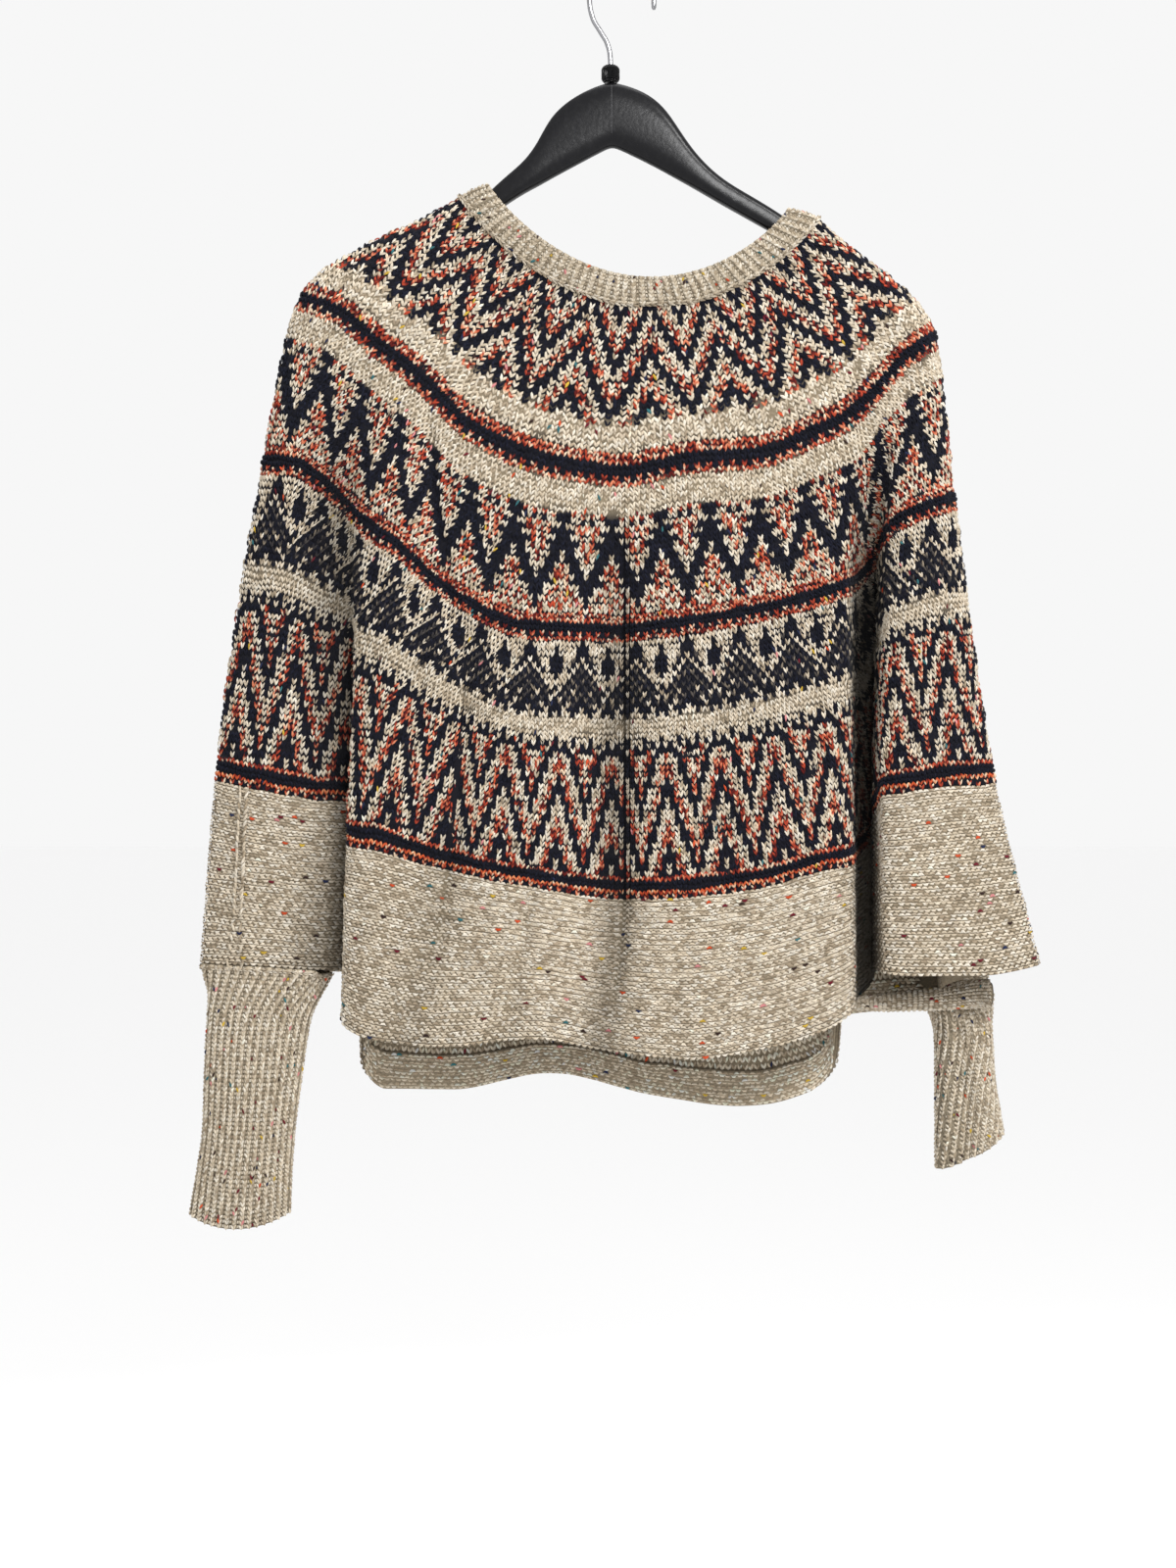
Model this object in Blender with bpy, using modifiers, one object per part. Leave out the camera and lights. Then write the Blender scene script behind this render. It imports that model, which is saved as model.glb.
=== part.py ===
"""Circular knitted poncho with ribbed cuffs, hanging on a contoured coat hanger.

The cloth is one closed tube from neck to hem. Each row of FOLDS is one fold line of that tube, running
down from the neckband seam, and the rows go once round the garment: across the front from its left edge
to its right one as it is looked at, through the tucked right sleeve, and back along the back.
Sizes in the tables are millimetres, measured from the inside top of the hook: x to the right, z up and
y towards the back. The solids are made in metres.
"""

import math

import bmesh
import bpy
import numpy as np
from mathutils import Matrix

MM = 0.001
TO_METRES = Matrix.Scale(MM, 4)
SMOOTH_ANGLE = math.radians(50)  # edges sharper than this stay sharp in the shading
GARMENT = "poncho_on_hanger"

# Cloth
WALL = 3.0  # the knitted cloth
RIB_WALL = 3.2  # neckband and cuffs, at the bottom of their grooves
RIB_RISE = 1.3  # how far a rib stands out of its groove
RIB_POINTS = 2  # points of a section for each rib of a cuff
FACING_WALL = 2.0
SEAM_GAP = 0.3
CUFF_GAP = 0.6  # below the hem, whose edge climbs and falls round a cuff
FACING_HEIGHT = 20.0
FACING_ROWS = 3
FACING_SKIP = 2  # facets of the hem that it leaves to the right cuff
NECK_RIBS = 96
CUFF_RIBS = 30
CUFF_EASING = 3
CORNER_REACH = 4  # points of a cuff's top on either side that set the direction out of it
CLOSING_STEPS = 6  # facets across the gap between the two ends of a cuff's stretch of hem
CLOSING_POWER = 4  # how suddenly that line leaves the higher end
GROOVE_WIDTH_KEPT = 0.4  # share of a cuff's width that its fold leaves alone
CLOTH_LENGTH = 565.0  # from the neck seam to the hem
CLOTH_STEP = 17.0  # longest facet round the cloth
SHORTEST_STRETCH = 8.0  # fold lines closer than this have one facet between them
OVERLAP = 3  # fold lines repeated before the first and after the last to close the round
PLACE_STEP = 0.5  # how far round and, as a share, how far down a direction is measured over
DOWN_STEP = 0.004
YOKE_ROWS = 14
BAND_ROWS = 5
STRIPE_END = 0.787  # where the patterned cloth ends, as a share of the way from neck seam to hem

# Neck: two curves that run round the shoulders, front and back alike
NECK_SEAM = dict(middle=13.0, half_width=133.0, left=-175.0, right=-191.5, drop=76.0, front=17.0, back=17.0)
NECK_RIM = dict(middle=12.0, half_width=110.0, left=-167.0, right=-185.5, drop=61.0, front=16.0, back=16.0)
NECK_SWELL = 1.0  # how far the neckband is bowed out, half way up
NECK_SWEEP = 1.7  # power of the drop, higher is a flatter shoulder
NECK_FULLNESS = 0.28  # power of the depth, lower is a squarer plan

# Fold lines: name, angle round the neck in degrees, then x, z, y at each of LEVELS but the neck itself
LEVELS = (0.0, 0.212, 0.43, 0.77, 1.0)
FOLDS = [
    # name, neck angle, yoke stripe, chest stripe, lower stripe, hem
    ("left_edge", 0, (-237, -248, -1), (-265, -371, -2), (-299, -595, -3), (-311, -741, -3)),
    ("left_flap", 21, (-208, -261, -15), (-240, -374, -15), (-258, -604, -17), (-270, -742, -17)),
    ("left_inner", 27, (-191, -274, -16), (-218, -388, -15), (-227, -610, -15), (-224, -745, -16)),
    ("left_tuck", 33, (-177, -287, -16), (-202, -403, -12), (-192, -613, -4), (-189, -746, 2)),
    ("panel_left", 39, (-159, -300, -17), (-186, -419, -20), (-200, -642, -27), (-204, -780, -29)),
    ("panel_left_roll", 46, (-139, -318, -20), (-163, -435, -28), (-177, -646, -37), (-183, -793, -39)),
    ("crease_left", 55, (-109, -347, -21), (-130, -465, -25), (-130, -661, -34), (-133, -799, -36)),
    ("bulge_left", 69, (-53, -372, -23), (-64, -495, -32), (-63, -675, -42), (-63, -792, -45)),
    ("centre_crease", 88, (2, -380, -22), (2, -496, -25), (2, -683, -32), (-9, -802, -35)),
    ("bulge_right", 104, (47, -371, -23), (36, -493, -32), (36, -682, -41), (46, -807, -44)),
    ("right_front", 124, (104, -366, -21), (100, -482, -29), (99, -675, -38), (101, -800, -40)),
    ("panel_right_roll", 136, (141, -350, -20), (145, -470, -28), (147, -662, -36), (146, -787, -38)),
    ("panel_right", 143, (163, -340, -18), (171, -460, -20), (169, -658, -24), (169, -774, -26)),
    ("valley", 149, (176, -329, -14), (185, -446, 0), (186, -642, 10), (186, -757, 12)),
    ("flap_edge", 155, (191, -313, -15), (197, -419, -21), (188, -608, -31), (189, -746, -36)),
    ("flap_roll", 162, (206, -296, -16), (212, -411, -27), (205, -605, -39), (209, -747, -45)),
    ("flap_face", 170, (220, -286, -16), (231, -404, -25), (238, -600, -37), (257, -747, -43)),
    ("right_edge", 180, (232, -277, -1), (245, -399, -10), (271, -598, -21), (304, -740, -27)),
    ("return", 187, (226, -279, 11), (243, -400, 4), (257, -602, -5), (275, -746, -12)),
    ("return_turn", 194, (217, -284, 15), (232, -403, 11), (238, -607, 2), (236, -760, -3)),
    ("sleeve_front", 201, (207, -293, 16), (220, -408, 16), (238, -609, 12), (256, -768, 9)),
    ("sleeve_turn", 208, (197, -303, 16), (207, -414, 19), (241, -611, 21), (279, -765, 21)),
    ("sleeve_back", 216, (185, -314, 17), (194, -422, 21), (225, -618, 28), (261, -772, 34)),
    ("side_back", 223, (173, -322, 17), (184, -427, 22), (208, -625, 29), (233, -777, 32)),
    ("tuck_right", 229, (163, -327, 17), (172, -433, 18), (174, -635, 19), (166, -782, 19)),
    ("back_right", 234, (153, -332, 18), (165, -440, 24), (166, -659, 30), (163, -818, 28)),
    ("back_right_roll", 241, (133, -340, 20), (147, -454, 28), (148, -668, 36), (145, -841, 38)),
    ("back_bulge_right", 253, (93, -355, 22), (97, -476, 31), (91, -680, 40), (89, -853, 42)),
    ("back_crease", 265, (42, -365, 22), (38, -491, 28), (32, -687, 34), (26, -844, 35)),
    ("back_middle", 277, (-25, -366, 22), (-36, -492, 32), (-46, -683, 41), (-54, -828, 43)),
    ("back_bulge_left", 292, (-83, -352, 21), (-99, -480, 29), (-114, -672, 38), (-125, -840, 40)),
    ("back_left_roll", 306, (-142, -315, 20), (-165, -432, 28), (-177, -655, 37), (-179, -839, 38)),
    ("back_left", 317, (-161, -297, 18), (-187, -416, 23), (-196, -646, 29), (-196, -817, 29)),
    ("tuck_left", 327, (-178, -283, 17), (-206, -400, 15), (-199, -618, 15), (-195, -750, 16)),
    ("left_back", 338, (-206, -260, 15), (-241, -375, 14), (-252, -605, 15), (-252, -748, 15)),
]
FRONT_START = ("left_edge", 0.7)  # the left side seam, this share of the way to the next fold line
BACK_START = ("sleeve_turn", 0.5)  # the right side seam, behind the fold of the tucked sleeve

# Cuffs: where each takes the hem's edge, then its sections going down
LEFT_CUFF_EDGE = (("tuck_left", 0.5), ("left_inner", 0.0))
RIGHT_CUFF_EDGE = (("return_turn", 0.25), ("side_back", 0.0))
# drop below the hem, middle x, y, half width, half depth, turn, slope of the edge, bow of the edge
LEFT_CUFF = [
    (38, -268, -1, 37, 13, 0, 0.00, 0),
    (76, -272, -1, 35, 13, 0, 0.00, 1),
    (114, -275, -1, 33, 13, 0, 0.00, 2),
    (152, -279, -1, 34, 13, 0, 0.00, 5),
    (181, -282, -1, 36, 12, 0, 0.02, 9),
]
RIGHT_CUFF = [
    (30, 257, 16, 20, 20, 8, 0.05, 0),
    (62, 258, 16, 21, 19, 4, 0.15, 0),
    (92, 260, 15, 23, 18, 0, 0.35, 0),
    (112, 261, 15, 24, 17, -4, 0.55, 3),
]
RIGHT_CUFF_GROOVE = dict(angle=255.0, spread=30.0, depth=9.0)  # the fold down its front

# Hanger: x, top, bottom, middle of its thickness, half thickness
HANGER = [
    (-226, -251.0, -257.0, 0, 3.0),
    (-222, -247.0, -258.0, 0, 4.6),
    (-199, -234.0, -249.0, 0, 5.0),
    (-157, -211.0, -226.5, 0, 5.0),
    (-120, -191.0, -207.0, 0, 5.0),
    (-108, -182.0, -199.0, 0, 5.2),
    (-95, -168.5, -187.5, 0, 5.6),
    (-83, -158.0, -179.0, 0, 6.2),
    (-71, -148.0, -171.5, 0, 6.8),
    (-62, -135.0, -167.0, 0, 7.0),
    (-54, -118.5, -162.5, 0, 7.0),
    (-44, -107.5, -157.0, 0, 7.0),
    (-30, -98.0, -149.5, 0, 7.0),
    (-14, -91.5, -141.0, 0, 7.0),
    (-7, -90.5, -137.5, 0, 7.0),
    (0, -91.5, -140.5, 0, 7.0),
    (17, -97.0, -148.5, 0, 7.0),
    (31, -107.5, -156.0, 0, 7.0),
    (41, -122.5, -161.5, 0, 7.0),
    (52, -139.5, -167.5, 0, 7.0),
    (65, -154.0, -175.0, 0, 6.8),
    (79, -165.0, -183.0, 0, 6.4),
    (96, -174.5, -192.5, 0, 6.0),
    (120, -189.0, -206.0, 0, 5.4),
    (134, -200.0, -217.0, 0, 5.0),
    (160, -216.5, -232.5, 0, 5.0),
    (200, -246.0, -260.0, 0, 4.8),
    (211, -255.0, -265.0, 0, 4.4),
    (215, -259.0, -264.0, 0, 3.0),
]
HANGER_CORNERS = 12  # points round one section
HANGER_SQUARENESS = 0.62  # power of the section's outline, 1 is an ellipse

# Hook
WIRE = 4.0
HOOK_RADIUS = 24.0  # to the wire's middle
HOOK_MIDDLE = (0.0, WIRE / 2 - HOOK_RADIUS)
HOOK_STEM = [
    # x, z from the collar's pocket up
    (-8.0, -81.3),
    (-8.0, -77.0),
    (-8.5, -69.0),
    (-10.6, -61.0),
    (-15.8, -52.0),
    (-21.0, -43.0),
    (-23.4, -33.0),
]
HOOK_TIP = 14.0  # straight end below the hook's middle
COLLAR = dict(x=-8.0, bottom=-90.7, top=-77.6, radius=6.2, rounding=3.0, pocket=4.0)
COLLAR_TURNS = 24
ROUNDING_POINTS = 5
ARC_POINTS = 13  # over the hook's half circle

COLOURS = {
    # name: colour, roughness, metallic
    "colourwork_knit": ((0.16, 0.10, 0.09, 1), 0.95, 0.0),
    "oatmeal_knit": ((0.56, 0.47, 0.36, 1), 0.95, 0.0),
    "black_plastic": ((0.012, 0.012, 0.013, 1), 0.35, 0.0),
    "chrome": ((0.75, 0.75, 0.76, 1), 0.15, 1.0),
}


def slopes(knots, values):
    """Slopes of a curve that passes through values and never swings past them."""
    span = np.diff(knots)
    rise = np.diff(values, axis=0) / span[:, None]
    inner = np.zeros_like(values)
    before, after = rise[:-1], rise[1:]
    w1 = (2 * span[1:] + span[:-1])[:, None]
    w2 = (span[1:] + 2 * span[:-1])[:, None]
    same = before * after > 0
    safe_before = np.where(same, before, 1.0)
    safe_after = np.where(same, after, 1.0)
    inner[1:-1] = np.where(same, (w1 + w2) / (w1 / safe_before + w2 / safe_after), 0.0)
    inner[0], inner[-1] = rise[0], rise[-1]
    return inner


def curve(knots, values, tangents, at):
    """Points of the cubic through values with these tangents, at the given places along the knots."""
    at = np.atleast_1d(at)
    left = np.clip(np.searchsorted(knots, at, side="right") - 1, 0, len(knots) - 2)
    span = (knots[left + 1] - knots[left])[:, None]
    t = (at - knots[left])[:, None] / span
    return (
        values[left] * (1 + 2 * t) * (1 - t) ** 2
        + tangents[left] * span * t * (1 - t) ** 2
        + values[left + 1] * t**2 * (3 - 2 * t)
        + tangents[left + 1] * span * t**2 * (t - 1)
    )


def unit(vectors):
    """The same directions at length one."""
    return vectors / np.linalg.norm(vectors, axis=-1)[..., None]


def level(vectors):
    """The same directions turned level, at length one."""
    return unit(vectors * np.array([1.0, 1.0, 0.0]))


def neck_point(shape, degrees):
    """A point of a neck curve: 0 is the left shoulder, 90 the front, 180 the right shoulder."""
    angle = math.radians(degrees)
    across = (1 - math.cos(angle)) / 2
    low = abs(math.sin(angle))
    depth = -shape["front"] if math.sin(angle) > 0 else shape["back"]
    return np.array(
        [
            shape["middle"] - shape["half_width"] * math.cos(angle),
            depth * low**NECK_FULLNESS,
            shape["left"] + (shape["right"] - shape["left"]) * across - shape["drop"] * low**NECK_SWEEP,
        ]
    )


class Cloth:
    """The outer surface of the cloth, as a function of the place round it and the share of the way down."""

    def __init__(self):
        """Reads the fold lines and lays their places out round the cloth, in millimetres."""
        self.names = [row[0] for row in FOLDS]
        angles = [row[1] for row in FOLDS]
        lines = [
            [neck_point(NECK_SEAM, angle)] + [(x, y, z) for x, z, y in row[2:]]
            for angle, row in zip(angles, FOLDS)
        ]
        self.lines = np.array(lines, float).transpose(1, 0, 2)
        self.levels = np.array(LEVELS)
        steps = np.linalg.norm(np.roll(self.lines, -1, axis=1) - self.lines, axis=2)[1:].mean(axis=0)
        self.places = np.concatenate([[0.0], np.cumsum(steps)])
        self.round = self.places[-1]
        flat = self.lines.reshape(len(LEVELS), -1)
        self.flat, self.falls = flat, slopes(self.levels, flat)
        self.angles = np.array(angles + [360.0])

    def place(self, fold):
        """The place round the cloth of (fold name, share of the way to the next fold line)."""
        name, share = fold
        i = self.names.index(name)
        return self.places[i] + share * (self.places[i + 1] - self.places[i])

    def angle(self, place):
        """The angle round the neck that a place round the cloth comes from."""
        return np.interp(place % self.round, self.places, self.angles)

    def ring(self, places, down):
        """Points of the outer surface at one share of the way down."""
        row = curve(self.levels, self.flat, self.falls, down).reshape(-1, 3)
        closed = np.concatenate([row[-OVERLAP:], row, row[: OVERLAP + 1]])
        starts = self.places[:-1]
        knots = np.concatenate([starts[-OVERLAP:] - self.round, starts, starts[: OVERLAP + 1] + self.round])
        return curve(knots, closed, slopes(knots, closed), np.asarray(places) % self.round)

    def surface(self, places, downs):
        """Points on a grid of places and shares of the way down, with directions across, down and out."""
        places = np.asarray(places, float)
        points, across, falling = [], [], []
        for down in downs:
            drop = DOWN_STEP if down < 0.5 else -DOWN_STEP
            here = self.ring(places, down)
            points.append(here)
            before, after = (self.ring(places + step, down) for step in (-PLACE_STEP, PLACE_STEP))
            across.append(after - before)
            falling.append((self.ring(places, down + drop) - here) * math.copysign(1.0, drop))
        across, falling = unit(np.array(across)), np.array(falling)
        out = unit(np.cross(falling, across))
        return np.array(points), across, np.cross(across, out), out

    def panel_places(self):
        """The places of both panels' points, once round from the front one's start."""
        start, end = self.place(FRONT_START), self.place(BACK_START)
        front = self.samples(start, end, CLOTH_STEP)
        back = self.samples(end, start, CLOTH_STEP)
        return np.concatenate([front, back[1:-1]])

    def samples(self, start, end, longest):
        """Places from one to another, with every fold line between them and facets of at most this length."""
        if end <= start:
            end += self.round
        marks = np.concatenate([self.places[:-1], self.places[:-1] + self.round])
        marks = [start] + [m for m in marks if start + 1.0 < m < end - 1.0] + [end]
        found = []
        for a, b in zip(marks, marks[1:]):
            count = max(2, math.ceil((b - a) / longest)) if b - a > SHORTEST_STRETCH else 1
            found += [a + (b - a) * i / count for i in range(count)]
        return np.array(found + [end])


def finish(name, mesh, material):
    """Makes the object from a mesh in millimetres, gives it its material and shades it."""
    mesh.transform(TO_METRES)
    thing = bpy.data.objects.new(name, mesh)
    bpy.data.collections[GARMENT].objects.link(thing)
    mesh.materials.append(material)
    mesh.shade_smooth()
    mesh.set_sharp_from_angle(angle=SMOOTH_ANGLE)
    return thing


def make_material(name):
    """A Principled material with the colour, roughness and metallic value of one finish."""
    colour, roughness, metallic = COLOURS[name]
    material = bpy.data.materials.new(name)
    material.use_nodes = True
    shader = material.node_tree.nodes["Principled BSDF"]
    shader.inputs["Base Color"].default_value = colour
    shader.inputs["Roughness"].default_value = roughness
    shader.inputs["Metallic"].default_value = metallic
    return material


def mesh_of(name, points, faces):
    """A mesh with its faces turned outwards."""
    mesh = bpy.data.meshes.new(name)
    mesh.from_pydata([tuple(p) for p in points], [], faces)
    work = bmesh.new()
    work.from_mesh(mesh)
    bmesh.ops.recalc_face_normals(work, faces=work.faces)
    if work.calc_volume(signed=True) < 0:
        bmesh.ops.reverse_faces(work, faces=work.faces)
    work.to_mesh(mesh)
    work.free()
    return mesh


def wall_mesh(name, outer, inner, closed):
    """A wall between two grids of points, rows by columns, closed round if asked, with rims all round."""
    rows, columns = outer.shape[:2]
    points = np.concatenate([outer.reshape(-1, 3), inner.reshape(-1, 3)])
    layer = rows * columns
    last = columns if closed else columns - 1

    def at(r, c, side):
        return side * layer + r * columns + c % columns

    faces = []
    for side in (0, 1):
        for r in range(rows - 1):
            for c in range(last):
                faces.append([at(r, c, side), at(r, c + 1, side), at(r + 1, c + 1, side), at(r + 1, c, side)])
    edges = [((r, c), (r, c + 1)) for r in (0, rows - 1) for c in range(last)]
    if not closed:
        edges += [((r, c), (r + 1, c)) for c in (0, columns - 1) for r in range(rows - 1)]
    for a, b in edges:  # both pieces of a seam split their rims the same way, so that they stay parallel
        faces.append([at(*a, 0), at(*b, 0), at(*b, 1)])
        faces.append([at(*a, 0), at(*b, 1), at(*a, 1)])
    return mesh_of(name, points, faces)


def cloth_piece(cloth, name, start, end, top, bottom, rows, material):
    """One sewn piece of the cloth, with half a seam gap on each of its edges that meets another."""
    places = cloth.samples(cloth.place(start), cloth.place(end), CLOTH_STEP)
    outer, across, down, out = cloth.surface(places, np.linspace(top, bottom, rows))
    half = SEAM_GAP / 2
    outer[:, 0] += half * across[:, 0]
    outer[:, -1] -= half * across[:, -1]
    outer[0] += half * down[0]
    if bottom < 1:
        outer[-1] -= half * down[-1]
    else:
        out[-1] = level(out[-1])
    return finish(name, wall_mesh(name, outer, outer - WALL * out, False), material)


def ribbed_ring(name, rings, edge_out, ribs, easing, material):
    """A closed tube with raised ribs outside and a plain inside, from the rings of its grooves, top first.

    edge_out is the index of the ring that meets the cloth, and the outward directions of its points.
    easing is the rounds of evening out that keep the inside from folding over in tight corners.
    """
    rings = np.array(rings)
    along = np.roll(rings, -1, axis=1) - np.roll(rings, 1, axis=1)
    out = unit(np.cross(np.gradient(rings, axis=0), along))
    out[edge_out[0]] = edge_out[1]
    count = rings.shape[1]
    rise = RIB_RISE * (np.arange(count) % (count // ribs) >= (count // ribs) / 2)
    outer = rings + out * rise[None, :, None]
    inner = rings - RIB_WALL * out
    for _ in range(easing):
        inner = (np.roll(inner, 1, axis=1) + 2 * inner + np.roll(inner, -1, axis=1)) / 4
    return finish(name, wall_mesh(name, outer, inner, True), material)


def neckband(cloth, material):
    """The ribbed band, from just off the neck seam up and in to its rim."""
    places = cloth.panel_places()
    points, _, down, out = (grid[0] for grid in cloth.surface(places, [0.0]))
    turns = np.radians(cloth.angle(places))
    ways = np.column_stack([np.cos(turns), np.sin(turns)])
    seam, down, out, ways = even(points, NECK_RIBS * 2, down, out, ways)
    seam = seam - SEAM_GAP / 2 * unit(down)
    rim = np.array([neck_point(NECK_RIM, math.degrees(math.atan2(s, c))) for c, s in ways])
    middle = (seam + rim) / 2 + NECK_SWELL * unit(out)
    return ribbed_ring("neckband", [rim, middle, seam], (-1, unit(out)), NECK_RIBS, 0, material)


def even(points, count, *others):
    """Points at even steps round a closed line of points, and what others hold there."""
    line = np.concatenate([points, points[:1]])
    far = np.concatenate([[0.0], np.cumsum(np.linalg.norm(np.diff(line, axis=0), axis=1))])
    at = np.linspace(0.0, far[-1], count, endpoint=False)
    found = []
    for values in (points, *others):
        closed = np.concatenate([values, values[:1]]).reshape(len(line), -1)
        found.append(np.stack([np.interp(at, far, column) for column in closed.T], axis=1))
    return found


def closing(hem):
    """Points from the end of a cuff's stretch of hem back to its start, kept at the lower one's height."""
    end, start = hem[-1], hem[0]
    shares = np.linspace(0.0, 1.0, CLOSING_STEPS + 1)[1:-1]
    line = end + (start - end) * shares[:, None]
    low_end = end[2] < start[2]
    climb = shares**CLOSING_POWER if low_end else 1 - (1 - shares) ** CLOSING_POWER
    line[:, 2] = end[2] + (start[2] - end[2]) * climb
    return line


def turns_left(ring):
    """Whether a ring runs against the clock, seen from above."""
    after = np.roll(ring, -1, axis=0)
    return np.sum(ring[:, 0] * after[:, 1] - ring[:, 1] * after[:, 0]) > 0


def section(middle_x, middle_y, half_width, half_depth, turn, groove, count):
    """One flattened round section of a cuff, in plan, starting at its right end and going to the back."""
    angles = np.linspace(0, 2 * np.pi, count, endpoint=False)
    x, y = half_width * np.cos(angles), half_depth * np.sin(angles)
    if groove:
        off = (np.degrees(angles) - groove["angle"]) / groove["spread"]
        pull = 1 - groove["depth"] / half_depth * np.exp(-(off**2))
        x, y = x * (GROOVE_WIDTH_KEPT + (1 - GROOVE_WIDTH_KEPT) * pull), y * pull
    c, s = math.cos(math.radians(turn)), math.sin(math.radians(turn))
    return np.stack([middle_x + c * x - s * y, middle_y + s * x + c * y], axis=1)


def cuff(cloth, name, stretch, sections, groove, material):
    """A ribbed cuff whose top follows a stretch of the hem's edge and whose sections then run down."""
    count = CUFF_RIBS * RIB_POINTS
    start, end = (cloth.place(fold) for fold in stretch)
    places = cloth.samples(start, end, CLOTH_STEP)
    hem = cloth.ring(places, 1.0) - np.array([0.0, 0.0, CUFF_GAP])
    top = even(np.concatenate([hem, closing(hem)]), count)[0]
    top = np.roll(top, -int(np.argmax(top[:, 0])), axis=0)
    if not turns_left(top):
        top = np.roll(top[::-1], 1, axis=0)
    out = np.roll(top, -CORNER_REACH, axis=0) - np.roll(top, CORNER_REACH, axis=0)
    out = unit(np.column_stack([out[:, 1], -out[:, 0], np.zeros(count)]))
    height = top[:, 2].mean()
    rings = [top]
    for drop, x, y, half_width, half_depth, turn, slope, bow in sections:
        plan = section(x, y, half_width, half_depth, turn, groove, count)
        off = plan[:, 0] - x
        edge = slope * off - bow * (1 - (off / half_width) ** 2)
        rings.append(np.column_stack([plan, height - drop + edge]))
    return ribbed_ring(name, rings, (0, out), CUFF_RIBS, CUFF_EASING, material)


def hem_facing(cloth, material):
    """The turned-up inside of the back hem, on the cloth's inner face."""
    places = cloth.samples(cloth.place(("side_back", 0.0)), cloth.place(("tuck_left", 0.0)), CLOTH_STEP)
    downs = np.linspace(1 - FACING_HEIGHT / CLOTH_LENGTH, 1.0, FACING_ROWS)
    outer, _, _, out = cloth.surface(places[FACING_SKIP:], downs)
    face = outer - (WALL + SEAM_GAP) * out
    name = "back_hem_facing"
    return finish(name, wall_mesh(name, face, face - FACING_WALL * out, False), material)


def hanger_body(material):
    """The hanger's arms, lofted through rounded upright sections."""
    corners = np.linspace(0, 2 * np.pi, HANGER_CORNERS, endpoint=False) + np.pi / HANGER_CORNERS
    power = HANGER_SQUARENESS
    points, faces = [], []
    for x, top, bottom, y, half in HANGER:
        middle, tall = (top + bottom) / 2, (top - bottom) / 2
        for a in corners:
            c, s = math.cos(a), math.sin(a)
            points.append(
                (
                    x,
                    y + half * math.copysign(abs(c) ** power, c),
                    middle + tall * math.copysign(abs(s) ** power, s),
                )
            )
    n = HANGER_CORNERS
    for r in range(len(HANGER) - 1):
        for i in range(n):
            j = (i + 1) % n
            faces.append([r * n + i, r * n + j, (r + 1) * n + j, (r + 1) * n + i])
    faces.append(list(range(n)))
    faces.append([(len(HANGER) - 1) * n + i for i in range(n)])
    return finish("hanger_body", mesh_of("hanger_body", points, faces), material)


def hook_route():
    """The middle line of the wire, from the collar up, over and down to its tip."""
    x, z = HOOK_MIDDLE
    turns = np.linspace(0, math.pi, ARC_POINTS)
    arc = [(x - HOOK_RADIUS * math.cos(a), z + HOOK_RADIUS * math.sin(a)) for a in turns]
    return HOOK_STEM + arc + [(x + HOOK_RADIUS, z - HOOK_TIP)]


def hanger_hook(material):
    """The wire hook: a round wire along its route, with capped ends."""
    line = bpy.data.curves.new("hanger_hook", "CURVE")
    line.dimensions = "3D"
    line.bevel_depth = WIRE / 2 * MM
    line.bevel_resolution = 2
    line.use_fill_caps = True
    route = hook_route()
    spline = line.splines.new("POLY")
    spline.points.add(len(route) - 1)
    for point, (x, z) in zip(spline.points, route):
        point.co = (x * MM, 0, z * MM, 1)
    thing = bpy.data.objects.new("hanger_hook", line)
    bpy.data.collections[GARMENT].objects.link(thing)
    line.materials.append(material)
    return thing


def hook_collar(material):
    """The round bead between the hanger's top and its hook, a profile turned about the wire."""
    tall = COLLAR["top"] - COLLAR["bottom"]
    radius, rounding, bore = COLLAR["radius"], COLLAR["rounding"], WIRE / 2 + SEAM_GAP
    turn = [
        (radius - rounding * (1 - math.cos(a)), tall - rounding * (1 - math.sin(a)))
        for a in np.linspace(math.pi / 2, 0, ROUNDING_POINTS)
    ]
    floor = tall - COLLAR["pocket"]
    profile = [(0.0, floor), (bore, floor), (bore, tall)] + turn + [(radius, 0.0), (0.0, 0.0)]
    mesh = bpy.data.meshes.new("hook_collar")
    points = [(r, 0.0, z) for r, z in profile]
    mesh.from_pydata(points, [(i, i + 1) for i in range(len(points) - 1)], [])
    mesh.transform(TO_METRES)
    thing = bpy.data.objects.new("hook_collar", mesh)
    thing.location = (COLLAR["x"] * MM, 0, COLLAR["bottom"] * MM)
    bpy.data.collections[GARMENT].objects.link(thing)
    screw = thing.modifiers.new("turned", "SCREW")
    screw.steps = screw.render_steps = COLLAR_TURNS
    screw.use_merge_vertices = True
    screw.merge_threshold = 0.01 * MM
    mesh.materials.append(material)
    return thing


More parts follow.
